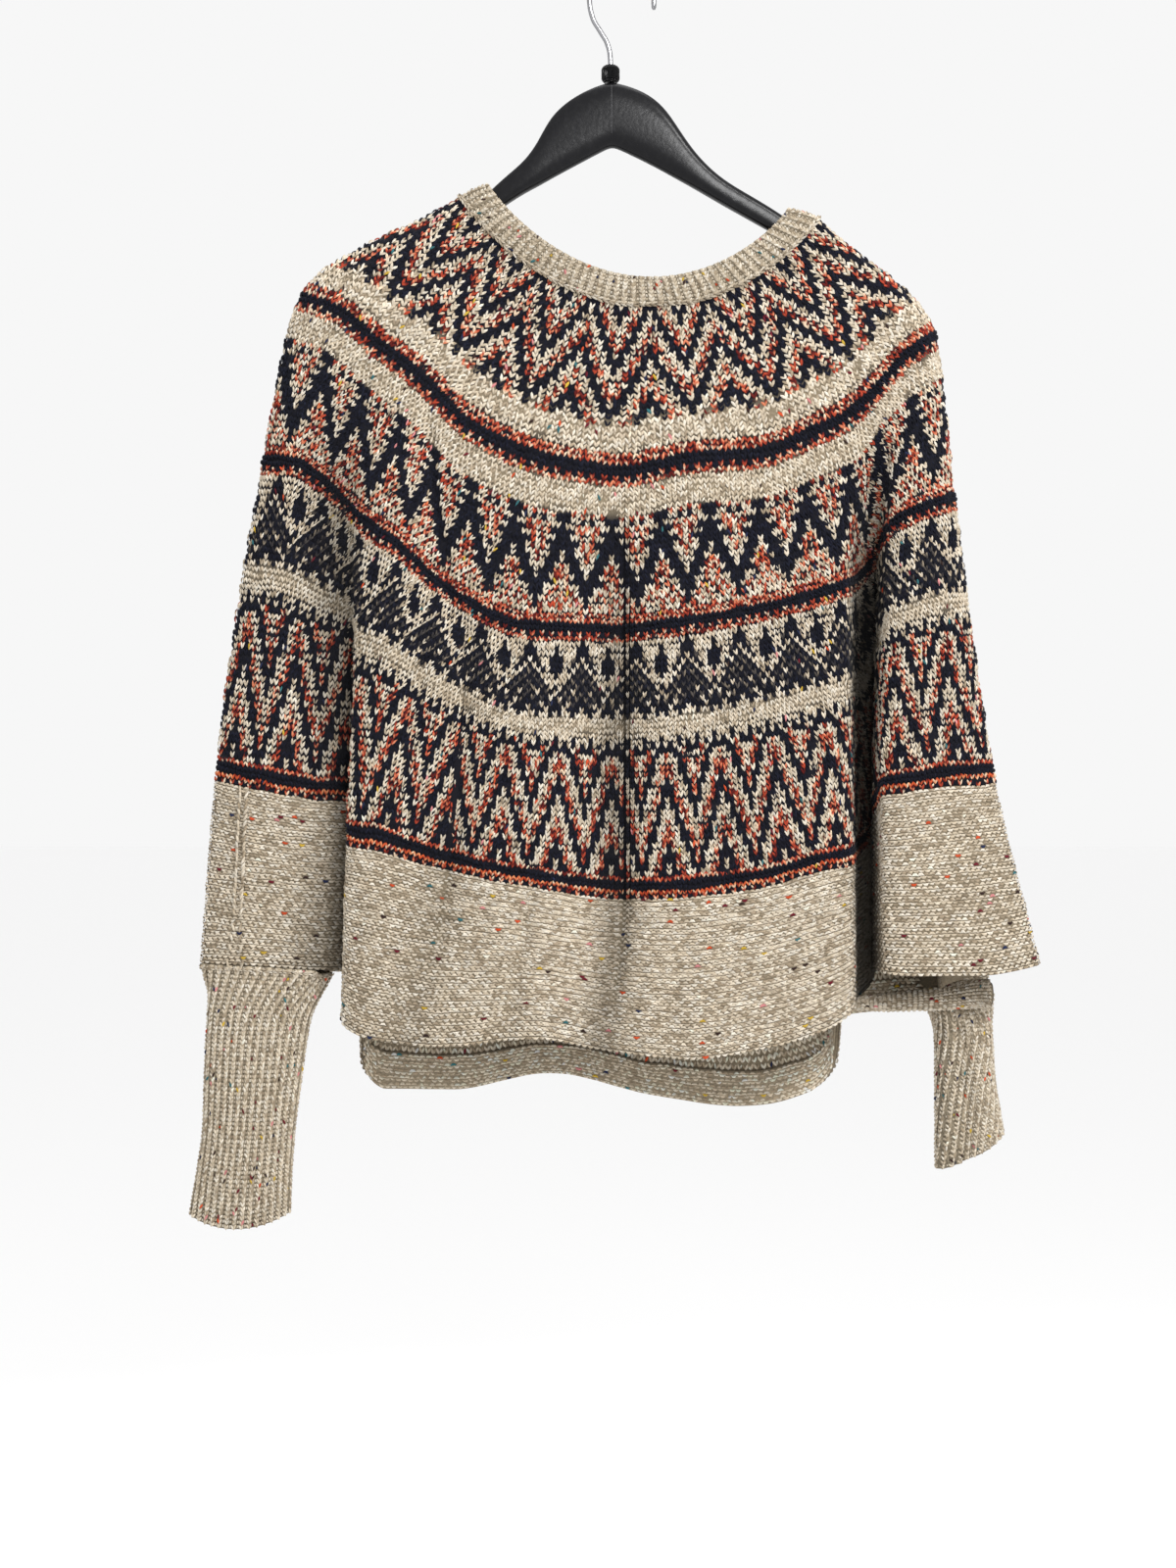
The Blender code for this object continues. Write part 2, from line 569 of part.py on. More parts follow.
def main():
    """Clears the scene and builds every piece."""
    for thing in list(bpy.data.objects):
        bpy.data.objects.remove(thing, do_unlink=True)
    collection = bpy.data.collections.new(GARMENT)
    bpy.context.scene.collection.children.link(collection)
    knit, plain, black, chrome = (make_material(name) for name in COLOURS)
    cloth = Cloth()
    cloth_piece(cloth, "front", FRONT_START, BACK_START, 0.0, STRIPE_END, YOKE_ROWS, knit)
    cloth_piece(cloth, "back", BACK_START, FRONT_START, 0.0, STRIPE_END, YOKE_ROWS, knit)
    cloth_piece(cloth, "front_hem_band", FRONT_START, BACK_START, STRIPE_END, 1.0, BAND_ROWS, plain)
    cloth_piece(cloth, "back_hem_band", BACK_START, FRONT_START, STRIPE_END, 1.0, BAND_ROWS, plain)
    hem_facing(cloth, plain)
    neckband(cloth, plain)
    cuff(cloth, "left_cuff", LEFT_CUFF_EDGE, LEFT_CUFF, None, plain)
    cuff(cloth, "right_cuff", RIGHT_CUFF_EDGE, RIGHT_CUFF, RIGHT_CUFF_GROOVE, plain)
    hanger_body(black)
    hook_collar(black)
    hanger_hook(chrome)


main()
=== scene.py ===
"""Circular knitted poncho with long ribbed cuffs on a contoured coat hanger: the dressed model.

The cloth is one tube from neck to hem, worked out from the same fold lines as the solids. Knitted stitches
are laid on it band by band from small charts, each stitch as two strands of yarn.
Sizes in the tables are millimetres from the inside top of the hook; meshes are made in metres.
"""

from __future__ import annotations

import logging
import math
from dataclasses import dataclass, field
from enum import IntEnum
from typing import Callable

import bpy
import numpy as np
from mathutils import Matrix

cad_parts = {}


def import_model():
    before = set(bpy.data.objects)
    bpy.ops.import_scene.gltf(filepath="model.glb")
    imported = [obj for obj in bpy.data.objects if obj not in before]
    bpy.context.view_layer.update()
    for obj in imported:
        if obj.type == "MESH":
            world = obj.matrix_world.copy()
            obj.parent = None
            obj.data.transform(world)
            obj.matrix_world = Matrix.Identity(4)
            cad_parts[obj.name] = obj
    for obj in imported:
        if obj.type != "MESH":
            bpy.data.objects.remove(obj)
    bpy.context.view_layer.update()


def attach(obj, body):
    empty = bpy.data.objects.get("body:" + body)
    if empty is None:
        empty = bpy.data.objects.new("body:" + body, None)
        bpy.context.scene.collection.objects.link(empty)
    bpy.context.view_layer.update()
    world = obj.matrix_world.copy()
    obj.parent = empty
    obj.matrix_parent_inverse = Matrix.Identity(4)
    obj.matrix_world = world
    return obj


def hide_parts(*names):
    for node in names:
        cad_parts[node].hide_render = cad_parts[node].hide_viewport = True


log = logging.getLogger("poncho")
Array = np.ndarray
MM = 0.001
FINE = 2600  # steps round the cloth, before they are evened out
STRIPE_END = 0.787  # where the plain hem starts, as a share of the way from neck seam to hem

NECK_SEAM = dict(middle=13.0, half_width=133.0, left=-175.0, right=-191.5, drop=76.0, front=17.0, back=17.0)
NECK_RIM = dict(middle=12.0, half_width=110.0, left=-167.0, right=-185.5, drop=61.0, front=16.0, back=16.0)
NECK_SWEEP = 1.7
NECK_FULLNESS = 0.28
LEVELS = (0.0, 0.212, 0.43, 0.77, 1.0)
FOLDS = [
    # name, neck angle, yoke stripe, chest stripe, lower stripe, hem
    ("left_edge", 0, (-237, -248, -1), (-265, -371, -2), (-299, -595, -3), (-311, -741, -3)),
    ("left_flap", 21, (-208, -261, -15), (-240, -374, -15), (-258, -604, -17), (-270, -742, -17)),
    ("left_inner", 27, (-191, -274, -16), (-218, -388, -15), (-227, -610, -15), (-224, -745, -16)),
    ("left_tuck", 33, (-177, -287, -16), (-202, -403, -12), (-192, -613, -4), (-189, -746, 2)),
    ("panel_left", 39, (-159, -300, -17), (-186, -419, -20), (-200, -642, -27), (-204, -780, -29)),
    ("panel_left_roll", 46, (-139, -318, -20), (-163, -435, -28), (-177, -646, -37), (-183, -793, -39)),
    ("crease_left", 55, (-109, -347, -21), (-130, -465, -25), (-130, -661, -34), (-133, -799, -36)),
    ("bulge_left", 69, (-53, -372, -23), (-64, -495, -32), (-63, -675, -42), (-63, -792, -45)),
    ("centre_crease", 88, (2, -380, -22), (2, -496, -25), (2, -683, -32), (-9, -802, -35)),
    ("bulge_right", 104, (47, -371, -23), (36, -493, -32), (36, -682, -41), (46, -807, -44)),
    ("right_front", 124, (104, -366, -21), (100, -482, -29), (99, -675, -38), (101, -800, -40)),
    ("panel_right_roll", 136, (141, -350, -20), (145, -470, -28), (147, -662, -36), (146, -787, -38)),
    ("panel_right", 143, (163, -340, -18), (171, -460, -20), (169, -658, -24), (169, -774, -26)),
    ("valley", 149, (176, -329, -14), (185, -446, 0), (186, -642, 10), (186, -757, 12)),
    ("flap_edge", 155, (191, -313, -15), (197, -419, -21), (188, -608, -31), (189, -746, -36)),
    ("flap_roll", 162, (206, -296, -16), (212, -411, -27), (205, -605, -39), (209, -747, -45)),
    ("flap_face", 170, (220, -286, -16), (231, -404, -25), (238, -600, -37), (257, -747, -43)),
    ("right_edge", 180, (232, -277, -1), (245, -399, -10), (271, -598, -21), (304, -740, -27)),
    ("return", 187, (226, -279, 11), (243, -400, 4), (257, -602, -5), (275, -746, -12)),
    ("return_turn", 194, (217, -284, 15), (232, -403, 11), (238, -607, 2), (236, -760, -3)),
    ("sleeve_front", 201, (207, -293, 16), (220, -408, 16), (238, -609, 12), (256, -768, 9)),
    ("sleeve_turn", 208, (197, -303, 16), (207, -414, 19), (241, -611, 21), (279, -765, 21)),
    ("sleeve_back", 216, (185, -314, 17), (194, -422, 21), (225, -618, 28), (261, -772, 34)),
    ("side_back", 223, (173, -322, 17), (184, -427, 22), (208, -625, 29), (233, -777, 32)),
    ("tuck_right", 229, (163, -327, 17), (172, -433, 18), (174, -635, 19), (166, -782, 19)),
    ("back_right", 234, (153, -332, 18), (165, -440, 24), (166, -659, 30), (163, -818, 28)),
    ("back_right_roll", 241, (133, -340, 20), (147, -454, 28), (148, -668, 36), (145, -841, 38)),
    ("back_bulge_right", 253, (93, -355, 22), (97, -476, 31), (91, -680, 40), (89, -853, 42)),
    ("back_crease", 265, (42, -365, 22), (38, -491, 28), (32, -687, 34), (26, -844, 35)),
    ("back_middle", 277, (-25, -366, 22), (-36, -492, 32), (-46, -683, 41), (-54, -828, 43)),
    ("back_bulge_left", 292, (-83, -352, 21), (-99, -480, 29), (-114, -672, 38), (-125, -840, 40)),
    ("back_left_roll", 306, (-142, -315, 20), (-165, -432, 28), (-177, -655, 37), (-179, -839, 38)),
    ("back_left", 317, (-161, -297, 18), (-187, -416, 23), (-196, -646, 29), (-196, -817, 29)),
    ("tuck_left", 327, (-178, -283, 17), (-206, -400, 15), (-199, -618, 15), (-195, -750, 16)),
    ("left_back", 338, (-206, -260, 15), (-241, -375, 14), (-252, -605, 15), (-252, -748, 15)),
]
LEFT_STRETCH = (("tuck_left", 0.5), ("left_inner", 0.0))
RIGHT_STRETCH = (("return_turn", 0.25), ("side_back", 0.0))
# drop below the hem, middle x, y, half width, half depth, turn, slope of the edge, bow of the edge
LEFT_SECTIONS = [
    (38, -268, -1, 37, 13, 0, 0.00, 0),
    (76, -272, -1, 35, 13, 0, 0.00, 1),
    (114, -275, -1, 33, 13, 0, 0.00, 2),
    (152, -279, -1, 34, 13, 0, 0.00, 5),
    (181, -282, -1, 36, 12, 0, 0.02, 9),
]
RIGHT_SECTIONS = [
    (30, 257, 16, 20, 20, 8, 0.05, 0),
    (62, 258, 16, 21, 19, 4, 0.15, 0),
    (92, 260, 15, 23, 18, 0, 0.35, 0),
    (112, 261, 15, 24, 17, -4, 0.55, 3),
]

# x, top, bottom, half depth
HANGER = [
    (-226, -251.0, -257.0, 3.0),
    (-222, -247.0, -258.0, 4.6),
    (-199, -234.0, -249.0, 5.0),
    (-157, -211.0, -226.5, 5.0),
    (-120, -191.0, -207.0, 5.0),
    (-108, -182.0, -199.0, 5.2),
    (-95, -168.5, -187.5, 5.6),
    (-83, -158.0, -179.0, 6.2),
    (-71, -148.0, -171.5, 6.8),
    (-62, -135.0, -167.0, 7.0),
    (-54, -118.5, -162.5, 7.0),
    (-44, -107.5, -157.0, 7.0),
    (-30, -98.0, -149.5, 7.0),
    (-14, -91.5, -141.0, 7.0),
    (-7, -90.5, -137.5, 7.0),
    (0, -91.5, -140.5, 7.0),
    (17, -97.0, -148.5, 7.0),
    (31, -107.5, -156.0, 7.0),
    (41, -122.5, -161.5, 7.0),
    (52, -139.5, -167.5, 7.0),
    (65, -154.0, -175.0, 6.8),
    (79, -165.0, -183.0, 6.4),
    (96, -174.5, -192.5, 6.0),
    (120, -189.0, -206.0, 5.4),
    (134, -200.0, -217.0, 5.0),
    (160, -216.5, -232.5, 5.0),
    (200, -246.0, -260.0, 4.8),
    (211, -255.0, -265.0, 4.4),
    (215, -259.0, -264.0, 3.0),
]
STEM = [(-8.0, -81.3), (-8.0, -77.0), (-8.5, -69.0), (-10.6, -61.0), (-15.8, -52.0), (-21.0, -43.0), (-23.4, -33.0)]


def slopes(knots: Array, values: Array) -> Array:
    """Slopes of a curve through values that never swings past them."""
    span = np.diff(knots)
    rise = np.diff(values, axis=0) / span[:, None]
    before, after = rise[:-1], rise[1:]
    w1 = (2 * span[1:] + span[:-1])[:, None]
    w2 = (span[1:] + 2 * span[:-1])[:, None]
    same = before * after > 0
    inner = np.zeros_like(values)
    weights = w1 / np.where(same, before, 1.0) + w2 / np.where(same, after, 1.0)
    inner[1:-1] = np.where(same, (w1 + w2) / weights, 0.0)
    inner[0], inner[-1] = rise[0], rise[-1]
    return inner


def curve(knots: Array, values: Array, at: Array) -> Array:
    """Points of the smooth curve through values at places along the knots."""
    tangents = slopes(knots, values)
    left = np.clip(np.searchsorted(knots, at, side="right") - 1, 0, len(knots) - 2)
    span = (knots[left + 1] - knots[left])[:, None]
    t = (at - knots[left])[:, None] / span
    return (
        values[left] * (1 + 2 * t) * (1 - t) ** 2
        + tangents[left] * span * t * (1 - t) ** 2
        + values[left + 1] * t**2 * (3 - 2 * t)
        + tangents[left + 1] * span * t**2 * (t - 1)
    )


def unit(vectors: Array) -> Array:
    """The same directions at length one."""
    return vectors / np.maximum(np.linalg.norm(vectors, axis=-1, keepdims=True), 1e-9)


def even(points: Array, count: int) -> Array:
    """Points at even steps round a closed line of points."""
    line = np.concatenate([points, points[:1]])
    far = np.concatenate([[0.0], np.cumsum(np.linalg.norm(np.diff(line, axis=0), axis=1))])
    at = np.linspace(0.0, far[-1], count, endpoint=False)
    return np.stack([np.interp(at, far, column) for column in line.T], axis=1)


def neck_point(shape: dict[str, float], degrees: float) -> list[float]:
    """A point of a neck curve: 0 is the left shoulder, 90 the front, 180 the right shoulder."""
    angle = math.radians(degrees)
    low = abs(math.sin(angle))
    depth = -shape["front"] if math.sin(angle) > 0 else shape["back"]
    side = shape["left"] + (shape["right"] - shape["left"]) * (1 - math.cos(angle)) / 2
    return [
        shape["middle"] - shape["half_width"] * math.cos(angle),
        depth * low**NECK_FULLNESS,
        side - shape["drop"] * low**NECK_SWEEP,
    ]


@dataclass
class Surface:
    """A closed tube of cloth: points by row down and by even step round, in millimetres."""

    points: Array

    def __post_init__(self) -> None:
        """Works out the directions across, down and out at every point."""
        p = self.points
        self.across = unit(np.roll(p, -1, axis=1) - np.roll(p, 1, axis=1))
        fall = np.gradient(p, axis=0)
        self.out = unit(np.cross(fall, self.across))
        self.down = np.cross(self.across, self.out)

    def at(self, round_: Array, down: Array) -> tuple[Array, Array, Array, Array]:
        """Points and directions across, down and out.

        Args:
            round_: shares of the way round, any number of turns.
            down: shares of the way down, 0 to 1.

        Returns:
            Four arrays of vectors: the points, and the directions across, down and out.
        """
        rows, cols = self.points.shape[:2]
        c = (np.asarray(round_) % 1.0) * cols
        r = np.clip(np.asarray(down) * (rows - 1), 0, rows - 1.0001)
        ci, ri = c.astype(int), r.astype(int)
        fc, fr = (c - ci)[..., None], (r - ri)[..., None]
        cn = (ci + 1) % cols
        ci %= cols

        def mix(grid: Array) -> Array:
            """The grid between its points."""
            high = grid[ri, ci] * (1 - fc) + grid[ri, cn] * fc
            low = grid[ri + 1, ci] * (1 - fc) + grid[ri + 1, cn] * fc
            return high * (1 - fr) + low * fr

        return mix(self.points), unit(mix(self.across)), unit(mix(self.down)), unit(mix(self.out))

    def girth(self, down: float) -> float:
        """The length once round at a share of the way down."""
        row = self.points[int(round(down * (len(self.points) - 1)))]
        return float(np.linalg.norm(np.roll(row, -1, axis=0) - row, axis=1).sum())


@dataclass(frozen=True)
class FoldLine:
    """A line down the cloth; its ends are (share round from the centre crease, share down)."""

    top: tuple[float, float]
    bottom: tuple[float, float]

    def beside(self, round_: Array, down: Array, girth: float) -> tuple[Array, Array]:
        """The share of the line at each place's height, and how far right of it the place is, in millimetres."""
        t = (down - self.top[1]) / (self.bottom[1] - self.top[1])
        line = self.top[0] + (self.bottom[0] - self.top[0]) * np.clip(t, 0, 1)
        return t, ((round_ - line + 0.5) % 1.0 - 0.5) * girth


@dataclass(frozen=True)
class Pleat(FoldLine):
    """A narrow groove pressed into the cloth.

    depth and the widths of its left and right slopes are in millimetres; power is 1 for a sharp bottom and 2
    for a soft one.
    """

    depth: float
    left: float
    right: float
    power: float = 2.0

    def press(self, round_: Array, down: Array, girth: float) -> Array:
        """How far the cloth is pushed in at each place."""
        t, off = self.beside(round_, down, girth)
        slope = np.exp(-((np.abs(off) / np.where(off < 0, self.left, self.right)) ** self.power))
        ends = np.clip(np.minimum(t, 1 - t) / 0.3, 0, 1)
        return self.depth * slope * ends * ends * (3 - 2 * ends)


PLEATS = [
    Pleat((0.0, 0.20), (0.0, 1.0), 10.0, 22.0, 3.4, 1.0),
    Pleat((-0.099, 0.40), (-0.090, 0.96), 6.0, 4.0, 12.0, 1.2),
    Pleat((-0.150, 0.20), (-0.100, 0.50), 4.5, 9.0, 9.0),
    Pleat((-0.126, 0.45), (-0.118, 0.85), 3.0, 6.0, 8.0),
    Pleat((-0.100, 0.72), (-0.092, 1.2), 5.5, 9.0, 11.0),
    Pleat((-0.052, 0.70), (-0.048, 1.2), 5.5, 12.0, 9.0),
    Pleat((0.026, 0.72), (0.024, 1.2), 3.0, 9.0, 10.0),
    Pleat((0.060, 0.45), (0.050, 0.95), 3.0, 7.0, 10.0),
    Pleat((0.115, 0.28), (0.105, 0.78), 2.6, 7.0, 11.0),
    Pleat((0.45, 0.24), (0.455, 1.15), 4.0, 10.0, 8.0),
    Pleat((0.56, 0.40), (0.555, 1.05), 3.0, 9.0, 10.0),
    Pleat((0.63, 0.50), (0.64, 1.15), 3.0, 9.0, 10.0),
]


@dataclass(frozen=True)
class Valley(FoldLine):
    """A wide fold that little light reaches, whose yarn and cloth get painted shade; its cloth can be pushed back to
    an even depth, in millimetres.
    """

    half_width: float
    depth: float
    power: float

    def weight(self, round_: Array, down: Array, girth: float) -> Array:
        """How far inside the fold each place lies, 0 to 1."""
        t, off = self.beside(round_, down, girth)
        return np.exp(-((np.abs(off) / self.half_width) ** self.power)) * np.clip(t / 0.25, 0, 1)

    def push(self, points: Array, round_: Array, down: Array, girth: float) -> None:
        """Moves the cloth back along the fold."""
        points[..., 1] += self.weight(round_, down, girth) * np.maximum(self.depth - points[..., 1], 0.0)


RIGHT_VALLEY = Valley((0.172, 0.30), (0.142, 1.0), 33.0, 13.0, 8.0)
# painted shade: each fold, and how much of its yarn's brightness is lost at its deepest, where little light reaches
PAINTED_FOLD_SHADE = (
    (RIGHT_VALLEY, 0.93),
    (Valley((-0.208, 0.30), (-0.169, 1.0), 26.0, 0.0, 2.0), 0.62),
    (Valley((-0.005, 0.26), (-0.004, 1.15), 13.0, 0.0, 2.0), 0.42),
    (Valley((-0.096, 0.66), (-0.092, 1.1), 15.0, 0.0, 2.0), 0.16),
)


@dataclass(frozen=True)
class Pucker:
    """The small unevenness of hand-fed yarn: waves of many lengths that meet once round."""

    lift: float = 0.42
    shift: float = 0.55
    waves: int = 26
    seed: int = 5

    def waves_at(self, round_: Array, down: Array, salt: int) -> Array:
        """A field of about unit size."""
        dice = np.random.default_rng(self.seed + salt)
        found = np.zeros(np.broadcast(round_, down).shape)
        for _ in range(self.waves):
            turns, falls = int(dice.integers(-95, 95)), dice.uniform(6, 42)
            found += np.sin(2 * np.pi * (turns * round_ + falls * down + dice.random()))
        return found * math.sqrt(2 / self.waves)


@dataclass
class Drape:
    """How the cloth hangs: its fold lines, and the even tube that the stitches are laid on.

    The pucker fades out over the share `calm_end` at the neck and the hem, and is `calm_hem` as strong on the
    plain hem as above it.
    """

    rows: int = 281
    columns: int = 1700
    pucker: Pucker = Pucker()
    calm_end: float = 0.03
    calm_hem: float = 0.5

    def __post_init__(self) -> None:
        """Lays the fold lines' places out round the cloth."""
        self.names = [row[0] for row in FOLDS]
        lines = [[neck_point(NECK_SEAM, row[1])] + [[x, y, z] for x, z, y in row[2:]] for row in FOLDS]
        self.lines = np.array(lines, float).transpose(1, 0, 2)
        steps = np.linalg.norm(np.roll(self.lines, -1, axis=1) - self.lines, axis=2)[1:].mean(axis=0)
        self.places = np.concatenate([[0.0], np.cumsum(steps)])

    def place(self, fold: tuple[str, float]) -> float:
        """The place round the cloth of (fold name, share of the way to the next one)."""
        i = self.names.index(fold[0])
        return float(self.places[i] + fold[1] * (self.places[i + 1] - self.places[i]))

    def ring(self, places: Array, down: float) -> Array:
        """Points once round the cloth at one share of the way down."""
        flat = self.lines.reshape(len(LEVELS), -1)
        row = curve(np.array(LEVELS), flat, np.array([down])).reshape(-1, 3)
        girth = self.places[-1]
        closed = np.concatenate([row[-3:], row, row[:4]])
        knots = np.concatenate([self.places[-4:-1] - girth, self.places[:-1], self.places[:4] + girth])
        return curve(knots, closed, np.asarray(places) % girth)

    def surface(self) -> Surface:
        """The whole cloth, with even steps round that start at the front's centre crease."""
        start = self.place(("centre_crease", 0.0))
        fine = start + np.linspace(0.0, self.places[-1], FINE, endpoint=False)
        rows = np.linspace(0, 1, self.rows)
        plain_tube = Surface(np.array([even(self.ring(fine, down), self.columns) for down in rows]))
        down, round_ = np.meshgrid(rows, np.arange(self.columns) / self.columns, indexing="ij")
        girth = self.places[-1]
        calm = np.clip(np.minimum(down, 1 - down) / self.calm_end, 0, 1)
        calm = calm * np.where(down > STRIPE_END, self.calm_hem, 1.0)
        lift = self.pucker.lift * self.pucker.waves_at(round_, down, 0) * calm
        shift = self.pucker.shift * self.pucker.waves_at(round_, down, 1) * calm
        for pleat in PLEATS:
            lift -= pleat.press(round_, down, girth)
        points = plain_tube.points + lift[..., None] * plain_tube.out + shift[..., None] * plain_tube.down
        RIGHT_VALLEY.push(points, round_, down, girth)
        return Surface(points)

    def stretch(self, ends: tuple[tuple[str, float], tuple[str, float]], count: int) -> Array:
        """Points along a stretch of the hem."""
        start, end = (self.place(fold) for fold in ends)
        if end <= start:
            end += self.places[-1]
        return self.ring(np.linspace(start, end, count), 1.0)

    def shade(self, round_: Array, down: Array) -> Array:
        """Painted shade: the yarn's colours darkened in the folds, where little light reaches it."""
        shade = np.ones(np.shape(round_))
        for fold, dark in PAINTED_FOLD_SHADE:
            shade = shade * (1.0 - dark * fold.weight(round_, down, self.places[-1]))
        return shade


class Yarn(IntEnum):
    """The yarns."""

    OATMEAL = 0
    NAVY = 1
    RUST = 2
    CHARCOAL = 3
    ORANGE = 4


PALETTE: dict[Yarn, list[tuple[tuple[int, int, int], float]]] = {
    Yarn.OATMEAL: [((230, 216, 194), 0.36), ((242, 232, 215), 0.18), ((211, 195, 171), 0.27), ((174, 157, 133), 0.19)],
    Yarn.NAVY: [((15, 17, 32), 0.5), ((10, 11, 23), 0.3), ((24, 27, 44), 0.2)],
    Yarn.RUST: [((100, 26, 22), 0.3), ((182, 70, 46), 0.3), ((226, 136, 100), 0.18), ((243, 216, 186), 0.22)],
    Yarn.CHARCOAL: [((62, 58, 58), 0.3), ((84, 78, 73), 0.27), ((38, 37, 44), 0.21), ((142, 129, 112), 0.22)],
    Yarn.ORANGE: [((150, 45, 28), 0.25), ((214, 92, 50), 0.35), ((238, 152, 104), 0.25), ((244, 212, 178), 0.15)],
}
FLECKS = [(214, 84, 46), (58, 116, 122), (58, 40, 36), (112, 30, 44), (214, 178, 66), (226, 146, 146), (40, 48, 80)]
# the cloth under the stitches, coloured as painted shade: between oatmeal stitches, under the patterned bands (the
# navy carried behind them, darkened by painted shade), inside the rolled hem and between the facing's loops
OATMEAL_GAP_SHADE, FLOATS_AND_GAP_SHADE, ROLL_INSIDE_SHADE, FACING_GAP_SHADE = (126, 114, 95), (16, 16, 24), (52, 45, 36), (150, 137, 116)
# painted shade in the rib grooves, and the paler lit crests of the ribs
RIB_GROOVE_SHADE, RIB_CREST_LIT = (92, 82, 66), (186, 172, 148)
LETTERS = {"B": Yarn.OATMEAL, "N": Yarn.NAVY, "R": Yarn.RUST, "C": Yarn.CHARCOAL, "O": Yarn.ORANGE}


def linear(colours: Array) -> Array:
    """Colours of 0 to 255 as a screen shows them, turned into the light that they stand for."""
    c = np.asarray(colours, float) / 255.0
    return np.where(c <= 0.04045, c / 12.92, ((c + 0.055) / 1.055) ** 2.4)


def half_chart(lines: list[str], shift: int) -> Callable[[Array, Array], Array]:
    """A chart that mirrors about its first and last columns.

    Args:
        lines: one string a row from the top, from one centre line of the repeat to the next.
        shift: columns that the repeat is moved to the right.

    Returns:
        A function of row and column arrays that gives the yarns.
    """
    table = np.array([[LETTERS[c] for c in line] for line in lines])
    period = 2 * (table.shape[1] - 1)

    def yarn(row: Array, col: Array) -> Array:
        """The yarn of each stitch."""
        c = (col - shift) % period
        return table[np.clip(row, 0, len(table) - 1), np.minimum(c, period - c)]

    return yarn


def yoke_zigzag(row: Array, col: Array) -> Array:
    """Chevrons of the neck: three rows of each yarn, falling two rows a column to the points."""
    off = (col + 3) % 12
    off = np.minimum(off, 12 - off)
    k = (row - 16 + 2 * off) % 9
    yarn = np.where(k < 3, Yarn.RUST, np.where(k < 6, Yarn.NAVY, Yarn.OATMEAL))
    return np.where((k == 2) & (off % 2 == 0), Yarn.OATMEAL, yarn)


def hem_zigzag(row: Array, col: Array) -> Array:
    """Chevrons above the lower stripe, under a row of navy ticks."""
    tip = (col - 3) % 12
    off = 6 - np.minimum(tip, 12 - tip)
    k = (row - 3 - (8 * off) // 3) % 12
    yarn = np.where(k < 4, Yarn.RUST, np.where(k < 8, Yarn.NAVY, Yarn.OATMEAL))
    yarn = np.where((k == 3) & (off % 2 == 1), Yarn.OATMEAL, yarn)
    ticks = np.where((col % 2 == 0) & ((row > 0) | (col % 4 == 0)), Yarn.NAVY, Yarn.OATMEAL)
    return np.where(row < 2, ticks, np.where((row == 2) & (k >= 8), Yarn.NAVY, yarn))


def plain(row: Array, col: Array) -> Array:
    """Oatmeal all over."""
    return np.full(np.broadcast(row, col).shape, Yarn.OATMEAL)


def stripe(rows: str) -> Callable[[Array, Array], Array]:
    """A chart of whole rows, where t is a row of tufts: rust on every second column, over navy."""

    def yarn(row: Array, col: Array) -> Array:
        """The yarn of each stitch."""
        table = np.array([LETTERS.get(c, -1) for c in rows])
        found = table[np.clip(row, 0, len(rows) - 1)] + 0 * col
        return np.where(found >= 0, found, np.where(col % 2 == 0, Yarn.RUST, Yarn.NAVY))

    return yarn


TREES = [
    "BRBRNN", "BNBBNN", "RBRBBN", "BRRNNN", "BRBBNN", "BRNNNN", "BRBNNN", "RBBNNB", "RBNNNB",
    "BBNNBO", "BNNNRR", "BNNBRR", "NNNNRB", "NNBBRB", "NNBRBR", "NBRBRB", "NRBRBR", "BRBBBR",
]
LOZENGES = [
    "NBBBBBB", "NNBBBBN", "NNBBBBN", "BNCBBNN", "NBNBBNN", "CNBNBNN", "NCNBBBN",
    "CNCNBBB", "NCNCNBN", "CNBNCNB", "NCNCNBN", "NNCBNCN", "BNNNBNN", "BBNBBNB",
]


@dataclass(frozen=True)
class Band:
    """One band of the knitting, between two shares of the way from neck seam to hem."""

    name: str
    top: float
    bottom: float
    columns: int
    rows: int
    chart: Callable[[Array, Array], Array]
    lift: tuple[float, ...] = ()

    def lifts(self, row: Array) -> Array:
        """How proud each row's stitches stand, against plain ones."""
        if not self.lift:
            return np.ones(row.shape)
        return np.array(self.lift)[np.clip(row, 0, len(self.lift) - 1)]


RIDGE = (1.0, 1.05, 1.7, 1.7, 1.15, 1.1)
BANDS = [
    Band("neck_chevrons", 0.0, 0.155, 192, 22, yoke_zigzag),
    Band("beige_a", 0.155, 0.19, 228, 5, plain),
    Band("stripe_1", 0.19, 0.235, 256, 6, stripe("RRNNtR"), RIDGE),
    Band("beige_b", 0.235, 0.275, 288, 6, plain),
    Band("trees", 0.275, 0.41, 320, 18, half_chart(TREES, 2)),
    Band("stripe_2", 0.41, 0.447, 352, 6, stripe("RRNNtR"), RIDGE),
    Band("lozenges", 0.447, 0.55, 384, 14, half_chart(LOZENGES, 2)),
    Band("beige_c", 0.55, 0.575, 396, 4, plain),
    Band("hem_chevrons", 0.575, 0.757, 396, 25, hem_zigzag),
    Band("stripe_3", 0.757, STRIPE_END, 396, 5, stripe("RNNOt"), (1.0, 1.6, 1.6, 1.3, 1.0)),
]
PIECES = {
    "neck_stitches": BANDS[:4],
    "tree_stitches": BANDS[4:6],
    "lozenge_stitches": BANDS[6:8],
    "zigzag_stitches": BANDS[8:],
}

# a strand of a stitch, bottom tip first: across and down in stitch widths and heights, out in lifts
STRAND = np.array(
    [
        (0.02, 0.72, -0.35),
        (-0.07, 0.25, -0.1),
        (0.15, 0.30, 1.0),
        (0.38, 0.22, -0.1),
        (0.09, -0.22, -0.1),
        (0.31, -0.17, 1.1),
        (0.52, -0.26, -0.1),
        (0.43, -0.62, -0.15),
    ]
)
STRAND_FACES = np.array(
    [(0, 3, 2), (0, 2, 1), (1, 2, 5), (1, 5, 4), (2, 3, 6), (2, 6, 5), (4, 5, 7), (5, 6, 7)]
)
